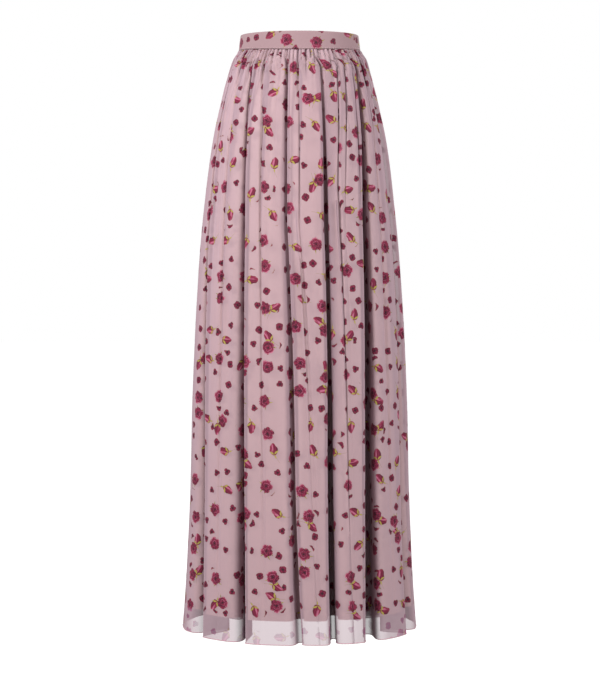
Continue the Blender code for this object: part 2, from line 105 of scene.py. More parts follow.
foldShape = {
    "softDepth": 10,            # mm at the hip: a shallower fold is soft, and the lining doesn't follow it
    "waistLevel": -0.045,
    "hipLevel": -0.343,
    "waistDrop": 0.062,
    "topWidthShare": 0.15,
    "widthPower": 0.6,
    "lipReach": 0.45,
    "floorReach": 0.35,
    "leanPower": 1.5,           # a soft fold straightens as it runs out
    "narrowest": 0.1,           # the least share of its width that a crowded soft fold keeps
}
seamLevel = (skirt["seamAtSide"] + skirt["seamAtCentre"]) / 2
fullDrop = seamLevel - skirt["hem"]


def smoothThrough(x, xs, ys):
    steps = np.diff(ys) / np.diff(xs)
    slopes = np.concatenate([steps[:1], np.zeros(len(steps) - 1), steps[-1:]])
    sameWay = steps[:-1] * steps[1:] > 0
    means = 2 * steps[:-1] * steps[1:] / np.where(sameWay, steps[:-1] + steps[1:], 1)
    slopes[1:-1] = np.where(sameWay, means, 0)
    row = np.clip(np.searchsorted(xs, x) - 1, 0, len(xs) - 2)
    width = xs[row + 1] - xs[row]
    t = (x - xs[row]) / width
    ends = (1 + 2 * t) * (1 - t) ** 2 * ys[row] + t**2 * (3 - 2 * t) * ys[row + 1]
    return ends + width * (t * (1 - t) ** 2 * slopes[row] - t**2 * (1 - t) * slopes[row + 1])


def softStep(t):
    t = np.clip(t, 0, 1)
    return t * t * (3 - 2 * t)


def bell(offset):
    return np.exp(-(offset**2))


def envelopeAt(height):
    width = smoothThrough(height, envelope[:, 0], envelope[:, 1])
    depth = smoothThrough(height, envelope[:, 0], envelope[:, 2])
    return width, depth


def onEnvelope(angle, height, inset=0.0):
    width, depth = envelopeAt(height)
    turn = np.radians(angle)
    x = (width - inset) * np.sin(turn)
    y = -(depth - inset) * np.cos(turn)
    return np.stack(np.broadcast_arrays(x, y, height), axis=-1)


def girthPerDegree(angle, height, inset=0.0):
    width, depth = envelopeAt(height)
    turn = np.radians(angle)
    return np.hypot((width - inset) * np.cos(turn), (depth - inset) * np.sin(turn)) * math.pi / 180


def seamHeight(angle):
    dip = skirt["seamAtCentre"] - skirt["seamAtSide"]
    return skirt["seamAtSide"] + dip * np.cos(np.radians(angle)) ** 2


def ringHeight(angle, drop):
    fade = 1 - softStep(drop / skirt["dipDrop"])
    return seamLevel - drop + (seamHeight(angle) - seamLevel) * fade


lining = {
    "insetTop": 2.3 * mm,
    "insetSide": 3.5 * mm,
    "insetCentre": 15.0 * mm,
    "insetRight": 13.0 * mm,    # more where the cloth falls clear of it, on the +X side
    "rightAt": 88,
    "rightSpread": 14,
    "foldEase": 4.0 * mm,
    "hemShare": 0.25,
    "topRise": 0.006,
    "openDrop": 0.055,          # the drop over which it leaves the outer layer
    "drawFrom": 0.33,           # from here down it draws near the outer layer again
    "drawOver": 0.70,
    # it hangs clear of the gathers under the seam, most from "clearStart" to "clearEnd"
    "clearOfGathers": 4.5 * mm,
    "clearStart": 0.006,
    "clearEnd": 0.05,
    "clearFade": 0.10,
}


def liningInset(angle, drop):
    angle = np.asarray(angle)
    toCentre = np.cos(np.radians(angle)) ** 2
    toRight = bell((angle - lining["rightAt"]) / lining["rightSpread"])
    spread = lining["insetSide"] + (lining["insetCentre"] - lining["insetSide"]) * toCentre
    spread = spread + lining["insetRight"] * toRight
    drawn = 1 - (1 - lining["hemShare"]) * softStep((drop - lining["drawFrom"]) / lining["drawOver"])
    return lining["insetTop"] + spread * softStep(drop / lining["openDrop"]) * drawn


backOpening = {
    "zipEnd": 0.215,            # drops: open down to here, and sewn up a little lower
    "closeOver": 0.035,
    "seam": 0.05 * mm,
}


def foldAngle(fold, level):
    stations = [envelopeAt(z)[0] for z in (foldShape["waistLevel"], foldShape["hipLevel"], skirt["hem"])]
    return np.interp(envelopeAt(level)[0], stations, [fold["waistAt"], fold["hipAt"], fold["hemAt"]])


def foldDepth(fold, drop):
    drops = np.array([0, foldShape["waistDrop"], seamLevel - foldShape["hipLevel"], fullDrop])
    depths = np.array([0, fold["waistDeep"], fold["hipDeep"], fold["hemDeep"]]) * mm
    return smoothThrough(max(drop, 0), drops, depths)


def bend(before, corner, after, reachIn, reachOut, count):
    start = corner + (before - corner) * reachIn
    end = corner + (after - corner) * reachOut
    t = ((np.arange(count) + 0.5) / count)[:, None]
    return (1 - t) ** 2 * start + 2 * t * (1 - t) * corner + t**2 * end


def placeFolds(folds, drop, first, last):
    # each fold's angle and the scale of its width; a soft one keeps to the room that the deep ones leave it
    level = seamLevel - drop
    lowDown = (max(drop, 0) / fullDrop) ** foldShape["widthPower"]
    scale = foldShape["topWidthShare"] + (1 - foldShape["topWidthShare"]) * lowDown
    angles = [foldAngle(fold, level) for fold in folds]
    sides = []
    for fold, angle in zip(folds, angles):
        perMm = scale * mm / girthPerDegree(angle, level)
        sides.append([(fold["mouth"] / 2 + fold[side]) * perMm for side in ("roundLeft", "roundRight")])
    places = []
    for i, (fold, angle, (left, right)) in enumerate(zip(folds, angles, sides)):
        squeeze = 1.0
        if fold["soft"]:
            before = [angles[k] + sides[k][1] for k in range(i) if not folds[k]["soft"]]
            after = [angles[k] - sides[k][0] for k in range(i + 1, len(folds)) if not folds[k]["soft"]]
            low, high = max(before + [first]), min(after + [last])
            if i and folds[i - 1]["soft"]:
                low = max(low, (angles[i - 1] + angle) / 2)
            if i + 1 < len(folds) and folds[i + 1]["soft"]:
                high = min(high, (angle + angles[i + 1]) / 2)
            squeeze = min(1.0, max(foldShape["narrowest"], (high - low) / (left + right)))
            angle = np.clip(angle, low + left * squeeze, max(low + left * squeeze, high - right * squeeze))
        places.append((angle, scale * squeeze))
    return places


def foldPoints(fold, drop, isLining, angle, scale):
    lipCount, floorCount = fold["lips"], fold["floors"]
    ease = lining["foldEase"] if isLining else 0.0
    height = ringHeight(angle, drop)
    depth = foldDepth(fold, drop)
    deepest = max(fold["waistDeep"], fold["hipDeep"], fold["hemDeep"]) * mm
    share = (depth / deepest) ** foldShape["leanPower"] if fold["soft"] else 1.0
    mouth = scale * fold["mouth"] * mm
    swell = max(0, fold["floor"] - fold["mouth"]) * mm * depth / deepest
    floor = scale * min(fold["floor"], fold["mouth"]) * mm + swell

    heading = math.radians(-angle + fold["lean"] * share)
    inward = np.array([math.sin(heading), math.cos(heading), 0.0])
    across = np.array([math.cos(heading), -math.sin(heading), 0.0])
    centre = onEnvelope(angle, height)
    inset = 0.0
    if isLining:
        inset = float(liningInset(angle, drop))
        width, thick = envelopeAt(height)
        point = centre + inward * inset
        angle = math.degrees(math.atan2(point[0] / (width - inset), -point[1] / (thick - inset)))
    perDegree = girthPerDegree(angle, height, inset)
    halfMouth = (mouth / 2 + ease) / perDegree
    startAngle = angle - halfMouth - scale * fold["roundLeft"] * mm / perDegree
    endAngle = angle + halfMouth + scale * fold["roundRight"] * mm / perDegree
    start, left, right, end = (
        onEnvelope(at, height, inset)
        for at in (startAngle, angle - halfMouth, angle + halfMouth, endAngle)
    )
    bottom = centre + inward * max(depth + ease, inset)
    floorLeft = bottom - across * (floor / 2 + ease)
    floorRight = bottom + across * (floor / 2 + ease)
    lip, sole = foldShape["lipReach"], foldShape["floorReach"]
    points = np.concatenate([
        bend(start, left, floorLeft, 1.0, lip, lipCount),
        bend(left, floorLeft, floorRight, sole, lip, floorCount),
        bend(floorLeft, floorRight, right, lip, sole, floorCount),
        bend(floorRight, right, end, lip, 1.0, lipCount),
    ])
    return startAngle, endAngle, points


def namedFolds(rows):
    return [dict(zip(foldWords, row)) for row in rows]


def sharedOut(total, widths):
    exact = np.array(widths) * total / sum(widths)
    counts = np.floor(exact).astype(int)
    for i in np.argsort(counts - exact)[: total - counts.sum()]:
        counts[i] += 1
    return counts


def planPanel(facts, mesh, isLining=False):
    (first, last), lips, floors = facts["span"], mesh["lips"], mesh["floors"]
    columns = facts["liningColumns" if isLining else "columns"]
    folds = namedFolds(facts["rows"])
    if isLining:
        folds = [fold for fold in folds if fold["hipDeep"] > foldShape["softDepth"]]
    for fold in folds:
        fold["soft"] = fold["hipDeep"] <= foldShape["softDepth"]
        fold["lips"] = lips // 2 if fold["soft"] else lips
        fold["floors"] = floors // 2 if fold["soft"] else floors
    sizes = [2 * (fold["lips"] + fold["floors"]) for fold in folds]
    edges = [first] + [fold["hemAt"] for fold in folds] + [last]
    lobes = sharedOut(columns - 1 - sum(sizes), np.diff(edges))
    return {"folds": folds, "first": first, "last": last, "columns": columns, "lobes": lobes,
            "isLining": isLining, "sizes": sizes, "opening": mesh["opening"]}


def planBreaks(plan):
    # the last column before each deep fold's bottom, and the middle column of each lobe between them
    offset, bottoms = 1, []
    for fold, lobe, size in zip(plan["folds"], plan["lobes"], plan["sizes"]):
        offset += lobe
        if not fold["soft"]:
            bottoms.append(offset + fold["lips"] + fold["floors"] - 1)
        offset += size
    edges = [0] + bottoms + [plan["columns"]]
    crests = [(a + b) // 2 for a, b in zip(edges, edges[1:])]
    return np.array(bottoms, int), np.array(crests, int)


def panelEdges(plan, drop):
    # the panel's own angles, less half the opening at centre back: open along the zip, sewn up below it
    first, last = plan["first"], plan["last"]
    closing = softStep((drop - backOpening["zipEnd"]) / backOpening["closeOver"])
    half = plan["opening"] / 2 * (1 - closing) + backOpening["seam"] * closing
    away = half / girthPerDegree(180, seamLevel - drop)
    return (first + away if first == -180 else first), (last - away if last == 180 else last)


def clothRing(plan, drop):
    isLining = plan["isLining"]
    first, last = panelEdges(plan, drop)

    def along(angles):
        inset = liningInset(angles, drop) if isLining else 0.0
        return onEnvelope(angles, ringHeight(angles, drop), inset)

    ends = along(np.array([first, last]))
    points, before = [ends[:1]], first
    places = placeFolds(plan["folds"], drop, first, last)
    for fold, (angle, scale), count in zip(plan["folds"], places, plan["lobes"]):
        start, end, inside = foldPoints(fold, drop, isLining, angle, scale)
        shares = (np.arange(count) + 0.5) / max(count, 1)
        points += [along(before + (start - before) * shares), inside]
        before = end
    shares = (np.arange(plan["lobes"][-1]) + 0.5) / plan["lobes"][-1]
    points += [along(before + (last - before) * shares), ends[1:]]
    even = along(np.linspace(first, last, plan["columns"] + 1))
    return even + (np.concatenate(points) - even) * softStep(drop / skirt["gatherDrop"])


def outward(points):
    run = np.gradient(points, axis=-2)
    normal = np.stack([run[..., 1], -run[..., 0], np.zeros(run.shape[:-1])], axis=-1)
    return normal / np.maximum(np.linalg.norm(normal, axis=-1, keepdims=True), 1e-9)


def azimuth(points):
    width, depth = envelopeAt(points[..., 2])
    return np.degrees(np.arctan2(points[..., 0] / width, -points[..., 1] / depth))


# The gathers under the seam. Their heights in mm are given at each of the drops
gathers = {
    "drops": np.array([0.0, 0.003, 0.012, 0.028, 0.045, 0.070, 0.110]),
    "fine": np.array([2.6, 4.3, 4.5, 2.6, 0.9, 0.0, 0.0]),           # mm
    "paired": np.array([0.0, 0.3, 1.1, 2.9, 3.2, 1.6, 0.0]),         # mm, two gathers drawn into one
    "inward": 0.40,             # the ribs swell less than the gaps sink
    "roundness": 0.46,          # below 1 the ribs are broad and the gaps between them narrow
    "unevenness": 0.60,         # shares by which a rib's height, length and place vary
    "reach": 0.55,
    "sway": 0.22,
    "pairShift": 0.25,
    "flatByZip": 13 * mm,
}


def ribs(place):
    return 2 * abs(np.cos(math.pi * place)) ** gathers["roundness"] - 1 - gathers["inward"]


def clearOfZip(points):
    fromZip = softStep((abs(points[..., 0]) - gathers["flatByZip"]) / gathers["flatByZip"])
    return np.where(points[..., 1] > 0, fromZip, 1.0)


def gatherRelief(points, drops, facts):
    # one rib a gather, each with its own height and reach
    chance = np.random.default_rng(facts["seed"])
    count, (first, last) = facts["gathers"], facts["span"]
    place = np.clip((azimuth(points) - first) / (last - first), 0, 1) * count
    at = np.arange(count + 2)
    strength, reach, sway = (chance.uniform(-1, 1, count + 2) for _ in range(3))
    strength = np.interp(place, at, 1 + gathers["unevenness"] * strength)
    reach = np.interp(place, at, 1 + gathers["reach"] * reach)
    sway = np.interp(place, at, gathers["sway"] * sway)
    reached = np.clip(drops[:, None] / reach, 0, gathers["drops"][-1] - 1e-6)
    fine = smoothThrough(reached, gathers["drops"], gathers["fine"])
    paired = smoothThrough(reached, gathers["drops"], gathers["paired"])
    swayed = place + sway
    relief = (ribs(swayed) * fine + ribs(swayed / 2 + gathers["pairShift"]) * paired) * strength * mm
    return relief * softStep(np.minimum(place, count - place)) * clearOfZip(points)


# Each crease: its angle at the top and at the bottom, the drops where it starts and ends, its width and its
# depth in mm. A depth below 0 is a trough, above 0 a ridge.
creaseWords = "topAt lowAt start end width deep".split()
frontCreases = [
    (-78, -74, 0.03, 0.62, 7, -1.6),
    (-66, -60, 0.02, 0.46, 6, 1.3),
    (-63, -56, 0.05, 1.02, 5, -1.5),
    (-54, -47, 0.02, 0.58, 4, 1.2),
    (-50, -38, 0.30, 1.06, 9, -1.8),
    (-38, -31, 0.01, 0.30, 4, -1.5),
    (-35, -24, 0.08, 0.66, 3, 1.3),
    (-26, -20, 0.01, 0.24, 4, -1.6),
    (-22, -17, 0.03, 0.92, 4, 1.2),
    (-17, -11, 0.02, 0.40, 4, -1.4),
    (-7, -4, 0.02, 0.34, 3, 1.2),
    (-6, 2, 0.12, 1.06, 10, -4.0),
    (3, 6, 0.01, 0.30, 4, -1.5),
    (8, 9, 0.03, 0.96, 3, 1.4),
    (12, 12, 0.02, 0.46, 5, -1.3),
    (21, 19, 0.04, 1.06, 10, -4.5),
    (26, 24, 0.05, 0.88, 4, 1.2),
    (36, 30, 0.02, 0.34, 4, -1.5),
    (45, 35, 0.02, 0.52, 4, 1.1),
    (48, 36, 0.16, 0.98, 5, -1.4),
    (59, 47, 0.02, 0.60, 5, 1.3),
    (62, 50, 0.10, 1.00, 7, -1.6),
    (69, 62, 0.03, 0.50, 6, -1.4),
    (80, 79, 0.05, 0.80, 6, 1.2),
]
backRightCreases = [
    (97, 98, 0.02, 0.52, 7, -1.5),
    (101, 103, 0.12, 1.00, 6, 1.2),
    (110, 112, 0.02, 0.64, 5, -1.6),
    (114, 116, 0.05, 0.38, 4, 1.3),
    (127, 130, 0.01, 0.46, 5, -1.5),
    (130, 134, 0.20, 1.04, 7, 1.3),
    (141, 144, 0.02, 0.36, 4, -1.6),
    (143, 147, 0.06, 0.82, 4, 1.2),
    (157, 159, 0.02, 0.74, 5, -1.5),
    (160, 163, 0.08, 0.98, 6, 1.2),
    (171, 173, 0.02, 0.56, 6, -1.3),
]
# the same sort of creases on the other half of the back, in other places
backLeftCreases = [
    (-96, -98, 0.04, 0.70, 7, 1.3),
    (-100, -104, 0.02, 0.44, 5, -1.5),
    (-113, -116, 0.03, 0.98, 6, -1.6),
    (-117, -121, 0.05, 0.34, 4, 1.2),
    (-131, -135, 0.02, 0.58, 5, -1.4),
    (-134, -139, 0.15, 1.03, 6, 1.3),
    (-144, -148, 0.02, 0.40, 4, -1.6),
    (-147, -151, 0.04, 0.30, 4, 1.1),
    (-158, -162, 0.02, 0.86, 5, -1.5),
    (-161, -164, 0.08, 0.62, 5, 1.3),
    (-172, -174, 0.03, 0.94, 7, -1.3),
]

gaps = {
    "share": 0.40,              # of the fold's own depth at the waist
    "shallowest": 3.5 * mm,
    "deepest": 7.5 * mm,
    "width": 1.5 * mm,
    "start": 0.004,
    "openAtSeam": 0.3,
    "end": 0.100,
    "fadeOut": 0.6,             # the share of the way down over which it closes
    "between": [(-18.3, 5.0), (6.3, 5.5)],    # degrees and mm: short gaps with no fold below them
}


def gapRelief(points, drops, rows):
    # each fold starts at the seam as a narrow gap between two gathers
    angles = azimuth(points)
    perDegree = girthPerDegree(angles, points[..., 2])
    level = seamLevel - drops
    opening = softStep(drops / gaps["start"] + gaps["openAtSeam"])
    closing = softStep((gaps["end"] - drops) / (gaps["fadeOut"] * gaps["end"]))
    relief = np.zeros(points.shape[:2])
    starts = [(at, deep * mm) for at, deep in gaps["between"]]
    for fold in namedFolds(rows):
        deep = np.clip(gaps["share"] * fold["waistDeep"] * mm, gaps["shallowest"], gaps["deepest"])
        starts.append((foldAngle(fold, level)[:, None], deep))
    for at, deep in starts:
        sideways = (angles - at) * perDegree
        relief -= deep * (opening * closing)[:, None] * bell(sideways / gaps["width"])
    return relief


# the skirt's mean radius, and how far inside a fold the reliefs die out
surface = {"meanRadius": 0.15, "fadeOver": 6 * mm}
creaseShape = {
    "gainAtWaist": 1.9,         # creases are sharper under the waist
    "gainBelow": 1.1,
    "gainOver": 0.30,
    "widthAtWaist": 0.7,
    "widthAtHem": 1.3,
    "sway": 1.3,
    "fadeIn": 0.25,             # shares of its length
    "fadeOut": 0.45,
}
# slow unevenness of a light cloth: how many times round and how fast each wave turns on the way down
drape = {"waves": ((9, 3.1), (15, 5.3), (23, 8.9)), "climb": 2.3, "height": 5.5 * mm, "swellOver": 0.12}


def onSurface(points):
    # 1 on the cloth's outer lobes, 0 inside the folds
    width, depth = envelopeAt(points[..., 2])
    inside = 1 - np.hypot(points[..., 0] / width, points[..., 1] / depth)
    return 1 - softStep(inside * surface["meanRadius"] / surface["fadeOver"])


def creaseGain(drops):
    lost = creaseShape["gainAtWaist"] - creaseShape["gainBelow"]
    return creaseShape["gainAtWaist"] - lost * softStep(drops / creaseShape["gainOver"])


def creaseRelief(points, drops, rows):
    angles = azimuth(points)
    relief = np.zeros(points.shape[:2])
    perDegree = girthPerDegree(angles, points[..., 2])
    for row in rows:
        crease = dict(zip(creaseWords, row))
        share = softStep(drops / fullDrop * creaseShape["sway"])
        at = crease["topAt"] + (crease["lowAt"] - crease["topAt"]) * share
        sideways = (angles - at[:, None]) * perDegree
        length = crease["end"] - crease["start"]
        starting = softStep((drops - crease["start"]) / (creaseShape["fadeIn"] * length))
        ending = softStep((crease["end"] - drops) / (creaseShape["fadeOut"] * length))
        deep = crease["deep"] * mm * creaseGain(drops) * starting * ending
        spread = np.interp(share, [0, 1], [creaseShape["widthAtWaist"], creaseShape["widthAtHem"]])
        width = crease["width"] * mm * spread
        relief += deep[:, None] * bell(sideways / width[:, None])
    return relief * onSurface(points)


def drapeRelief(points, drops, seed):
    chance = np.random.default_rng(seed)
    angles = np.radians(azimuth(points))
    relief = np.zeros(points.shape[:2])
    down = drops[:, None]
    for turns, climb in drape["waves"]:
        phase = chance.uniform(0, 2 * math.pi, 2)
        roundIt = np.sin(turns * angles + climb * down + phase[0])
        relief += roundIt * np.sin(climb * drape["climb"] * down + phase[1]) / turns
    return relief * softStep(down / drape["swellOver"]) * drape["height"]


# Making meshes: the drops between which a sheet's rows are evenly spaced, and a panel's doubled side
rowStops = (0.0006, 0.060, 0.300)
seamAllowance = {"width": 7 * mm, "fade": 1.2 * mm}
weldDistance = 0.01 * mm


def gridSheet(name, points, uStart, uEnd, v):
    rows, columns = points.shape[:2]
    model = bmesh.new()
    bmesh.ops.create_grid(model, x_segments=columns - 1, y_segments=rows - 1, size=0.5)
    mesh = bpy.data.meshes.new(name)
    model.to_mesh(mesh)
    model.free()
    flat = np.empty(len(mesh.vertices) * 3)
    mesh.vertices.foreach_get("co", flat)
    flat = flat.reshape(-1, 3)
    column = np.rint((flat[:, 0] + 0.5) * (columns - 1)).astype(int)
    row = np.rint((0.5 - flat[:, 1]) * (rows - 1)).astype(int)
    mesh.vertices.foreach_set("co", points[row, column].ravel())
    corners = np.empty(len(mesh.loops), int)
    mesh.loops.foreach_get("vertex_index", corners)
    onColumn, onRow = column[corners], row[corners]
    faceColumn = np.repeat(onColumn.reshape(-1, 4).min(axis=1), 4)
    u = np.where(onColumn == faceColumn, uStart[onRow, faceColumn], uEnd[onRow, faceColumn])
    layer = mesh.uv_layers.new(name="cut")
    layer.data.foreach_set("uv", np.column_stack([u, v[onRow]]).ravel())
    mesh.update()
    return mesh, row, column


def newObject(name, data):
    made = bpy.data.objects.new(name, data)
    bpy.context.scene.collection.objects.link(made)
    return made


def addPiece(name, mesh, material):
    piece = newObject(name, mesh)
    mesh.materials.append(material)
    mesh.shade_smooth()
    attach(piece, "skirt")
    return piece


def arcAlong(points):
    steps = np.linalg.norm(np.diff(points, axis=-2), axis=-1)
    return np.concatenate([np.zeros(steps.shape[:-1] + (1,)), np.cumsum(steps, axis=-1)], axis=-1)


def sheetCut(points, drops, bottoms, crests, startAt):
    # where each column lies on the flat cloth: across from its lobe's crest, down by the way the cloth runs
    across = arcAlong(points)
    lobe = np.searchsorted(bottoms, np.arange(points.shape[1] - 1))
    anchor = across[-1, crests][lobe] - across[:, crests][:, lobe] + startAt
    slope = np.gradient(envelopeAt(seamLevel - drops)[0], drops)
    down = np.concatenate([[0], np.cumsum(np.diff(drops) * np.hypot(1, slope[1:]))])
    return across[:, :-1] + anchor, across[:, 1:] + anchor, -down


def sheetDrops(bottom, counts):
    # rows close together under the waist, wider apart below
    stops = [*rowStops, bottom]
    parts = [np.linspace(a, b, n, endpoint=False) for a, b, n in zip(stops, stops[1:], counts)]
    return np.concatenate(parts + [[bottom]])


def sideShade(points):
    # 1 where the seam allowance doubles the cloth along the panel's two sides
    across = arcAlong(points)
    near = np.minimum(across, across[:, -1:] - across)
    return 1 - softStep((near - seamAllowance["width"]) / seamAllowance["fade"])


def tubeMesh(name, path, radius, sides):
    # a round edge of cloth along a path, closed at both ends
    run = np.gradient(path, axis=0)
    run /= np.linalg.norm(run, axis=1)[:, None]
    side = np.cross(run, [0, 0, 1.0])
    side /= np.linalg.norm(side, axis=1)[:, None]
    up = np.cross(side, run)
    turn = np.linspace(0, 2 * math.pi, sides + 1)
    ring = np.cos(turn)[:, None, None] * up[None] - np.sin(turn)[:, None, None] * side[None]
    points = path[None] + radius * ring
    across = np.broadcast_to(arcAlong(path), points.shape[:2])
    mesh, _, _ = gridSheet(name, points, across[:, :-1], across[:, 1:], -radius * turn)
    closeUp(mesh)
    return mesh


def closeUp(mesh):
    model = bmesh.new()
    model.from_mesh(mesh)
    bmesh.ops.remove_doubles(model, verts=model.verts, dist=weldDistance)
    bmesh.ops.holes_fill(model, edges=[e for e in model.edges if e.is_boundary], sides=0)
    bmesh.ops.recalc_face_normals(model, faces=model.faces)
    model.to_mesh(mesh)
    model.free()


def strew(name, size, places, runs, outs, material):
    # one small rounded grain, such as a stitch, copied to each place and turned along its run
    model = bmesh.new()
    bmesh.ops.create_icosphere(model, subdivisions=1, radius=1.0)
    bmesh.ops.scale(model, vec=size, verts=model.verts)
    grain = np.array([v.co for v in model.verts])
    faces = np.array([[v.index for v in f.verts] for f in model.faces])
    model.free()
    across = np.cross(outs, runs)
    spots = (places[:, None] + grain[None, :, :1] * runs[:, None]
             + grain[None, :, 1:2] * across[:, None] + grain[None, :, 2:] * outs[:, None])
    corners = faces[None] + (np.arange(len(places)) * len(grain))[:, None, None]
    mesh = bpy.data.meshes.new(name)
    mesh.from_pydata(spots.reshape(-1, 3), [], corners.reshape(-1, 3).tolist())
    return addPiece(name, mesh, material)


# Values in a shader's tree, so that sums of them read as sums
class Term:
    def __init__(self, tree, socket):
        self.tree = tree
        self.socket = socket

    def __add__(self, other):
        return calc("ADD", self, other)

    def __sub__(self, other):
        return calc("SUBTRACT", self, other)

    def __rsub__(self, other):
        return calc("SUBTRACT", other, self)

    def __mul__(self, other):
        return calc("MULTIPLY", self, other)

    def __truediv__(self, other):
        return calc("DIVIDE", self, other)

    def __rtruediv__(self, other):
        return calc("DIVIDE", other, self)

    def __abs__(self):
        return calc("ABSOLUTE", self)

    __radd__ = __add__
    __rmul__ = __mul__


def feed(tree, slot, term):
    if isinstance(term, Term):
        tree.links.new(term.socket, slot)
    else:
        slot.default_value = term


def treeOf(terms):
    return next(term.tree for term in terms if isinstance(term, Term))


def addNode(tree, kind, slots, output=0, **settings):
    node = tree.nodes.new("ShaderNode" + kind)
    for label, value in settings.items():
        setattr(node, label, value)
    for slot, term in slots.items():
        feed(tree, node.inputs[slot], term)
    return Term(tree, node.outputs[output])


def calc(operation, *terms):
    return addNode(treeOf(terms), "Math", dict(enumerate(terms)), operation=operation)


def vectorCalc(operation, *terms):
    output = "Value" if operation == "LENGTH" else "Vector"
    return addNode(treeOf(terms), "VectorMath", dict(enumerate(terms)), output, operation=operation)


def scaled(vector, factor):
    slots = {"Vector": vector, "Scale": factor}
    return addNode(vector.tree, "VectorMath", slots, "Vector", operation="SCALE")


def ramp(value, fromLow, fromHigh, toLow=0.0, toHigh=1.0):
    slots = {"Value": value, "From Min": fromLow, "From Max": fromHigh, "To Min": toLow, "To Max": toHigh}
    return addNode(value.tree, "MapRange", slots, "Result", interpolation_type="SMOOTHSTEP")


def blendColor(share, first, second):
    return addNode(share.tree, "Mix", {0: share, 6: first, 7: second}, 2, data_type="RGBA")


def tinted(color, tone):
    slots = {0: 1.0, 6: color, 7: joined(tone, tone, tone)}
    return addNode(tone.tree, "Mix", slots, 2, data_type="RGBA", blend_type="MULTIPLY")


def noise(vector, scale, detail=1.0):
    return addNode(vector.tree, "TexNoise", {"Vector": vector, "Scale": scale, "Detail": detail}, "Fac")


def joined(x, y, z=0.0):
    return addNode(treeOf((x, y, z)), "CombineXYZ", {0: x, 1: y, 2: z})


def parted(vector):
    node = addNode(vector.tree, "SeparateXYZ", {0: vector}).socket.node
    return [Term(vector.tree, socket) for socket in node.outputs]


def turned(vector, angle):
    return addNode(vector.tree, "VectorRotate", {"Vector": vector, "Angle": angle}, rotation_type="Z_AXIS")


def makeGroup(name, inputs, outputs):
    tree = bpy.data.node_groups.new(name, "ShaderNodeTree")
    for label, value in inputs.items():
        kind = "NodeSocketVector" if value is None else "NodeSocketFloat"
        socket = tree.interface.new_socket(label, in_out="INPUT", socket_type=kind)
        if value is not None:
            socket.default_value = value
    kinds = {"Color": "NodeSocketColor", "Point": "NodeSocketVector"}
    for label in outputs:
        tree.interface.new_socket(label, in_out="OUTPUT", socket_type=kinds.get(label, "NodeSocketFloat"))
    sockets = tree.nodes.new("NodeGroupInput").outputs
    return tree, {socket.name: Term(tree, socket) for socket in sockets if socket.name}


def putOut(tree, **terms):
    node = tree.nodes.new("NodeGroupOutput")
    for label, term in terms.items():
        feed(tree, node.inputs[label], term)
    return tree


def useGroup(group, **terms):
    tree = treeOf(terms.values())
    node = tree.nodes.new("ShaderNodeGroup")
    node.node_tree = group
    for label, term in terms.items():
        feed(tree, node.inputs[label], term)
    return {socket.name: Term(tree, socket) for socket in node.outputs}


def newMaterial(name):
    material = bpy.data.materials.new(name)
    material.use_nodes = True
    return material, material.node_tree


def setShader(material, values):
    tree = material.node_tree
    for label, term in values.items():
        feed(tree, tree.nodes["Principled BSDF"].inputs[label], term)
    return material


def ownPlace(tree):
    return addNode(tree, "TexCoord", {}, "Object")


def bump(height, strength, distance):
    return addNode(height.tree, "Bump", {"Height": height, "Strength": strength, "Distance": distance})


# The print. Every length in these groups is in mm of the cloth as it was printed
printColors = {
    "raspberry": (0.152, 0.008, 0.032, 1),
    "burgundy": (0.046, 0.003, 0.013, 1),
    "pinkRim": (0.390, 0.115, 0.185, 1),
    "flowerHeart": (0.020, 0.004, 0.010, 1),
    "leaf": (0.235, 0.195, 0.036, 1),
    "leafShade": (0.110, 0.090, 0.020, 1),
}
printLayout = {
    "flowerSpacing": 56.0,
    "flowerJitter": 0.62,
    "flowersAlone": 0.30,       # shares of the flower places
    "withBud": 0.52,
    "flowerInPair": (0.0, 7.0),
    "budInPair": (8.5, -13.0),
    "budTurn": -0.9,
    "rosetteSpacing": 37.5,
    "rosetteJitter": 0.72,
    "rosettesAside": (31.7, 12.3, 0.0),
    "clearOfFlowers": 20.0,
    "leafyAbove": 0.45,         # a lone flower has leaves where its chance is above this
    "leafTones": (0.45, 0.6),
    # the blades beside a flower: angle, length, width and bend of each
    "sprig": ((-0.95, 16.0, 3.4, 0.020), (0.15, 19.0, 3.0, -0.015), (0.85, 16.5, 3.4, 0.020)),
}
# A motif's own sizes, then its tones: each of these runs from its first value to its second, and gives its
# third and fourth, or 0 and 1
flowerShape = {
    "petals": 5.0, "reach": 5.9, "size": 6.5, "warp": 5.2, "ragged": 4.5,
    "innerPetals": 4.0, "innerReach": 2.8, "innerSize": 3.5, "innerWarp": 3.0,
    "edge": (-0.2, 0.4), "lit": (-7.0, 7.0, 0.15, 1.0), "rim": (0.2, 3.4, 0.95, 0.0),
    "rimPatches": (0.36, 0.54),
    "shadow": (0.44, 0.58, 0.0, 0.85), "join": (0.2, 1.1, 0.85, 0.0), "heart": (1.2, 2.6, 0.95, 0.0),
    "innerEdge": (-0.2, 0.3), "innerRim": (0.1, 1.3, 0.75, 0.0), "innerPatches": (0.42, 0.60),
}
budShape = {
    "halfWidth": 5.6, "halfLength": 8.8, "taper": 0.22, "size": 1.34, "warp": 4.0, "foot": 7.6,
    "edge": (-0.1, 0.5), "pale": (0.4, 2.2, 0.78, 0.0), "palePatches": (0.38, 0.54),
    "shade": (0.8, 4.8, 0.0, 0.8), "wrap": (0.1, 0.8, 0.8, 0.0), "wrapEnd": (4.0, 7.5, 1.0, 0.0),
    "stem": (0.2, 0.7, 0.4, 0.0), "stemTop": (-9.5, -8.5, 1.0, 0.0), "stemEnd": (-20.0, -18.0),
    "sepals": ((0.62, 9.0, 3.0, 0.03), (-0.70, 8.0, 2.8, -0.03), (2.45, 6.5, 2.6, 0.04)),
}
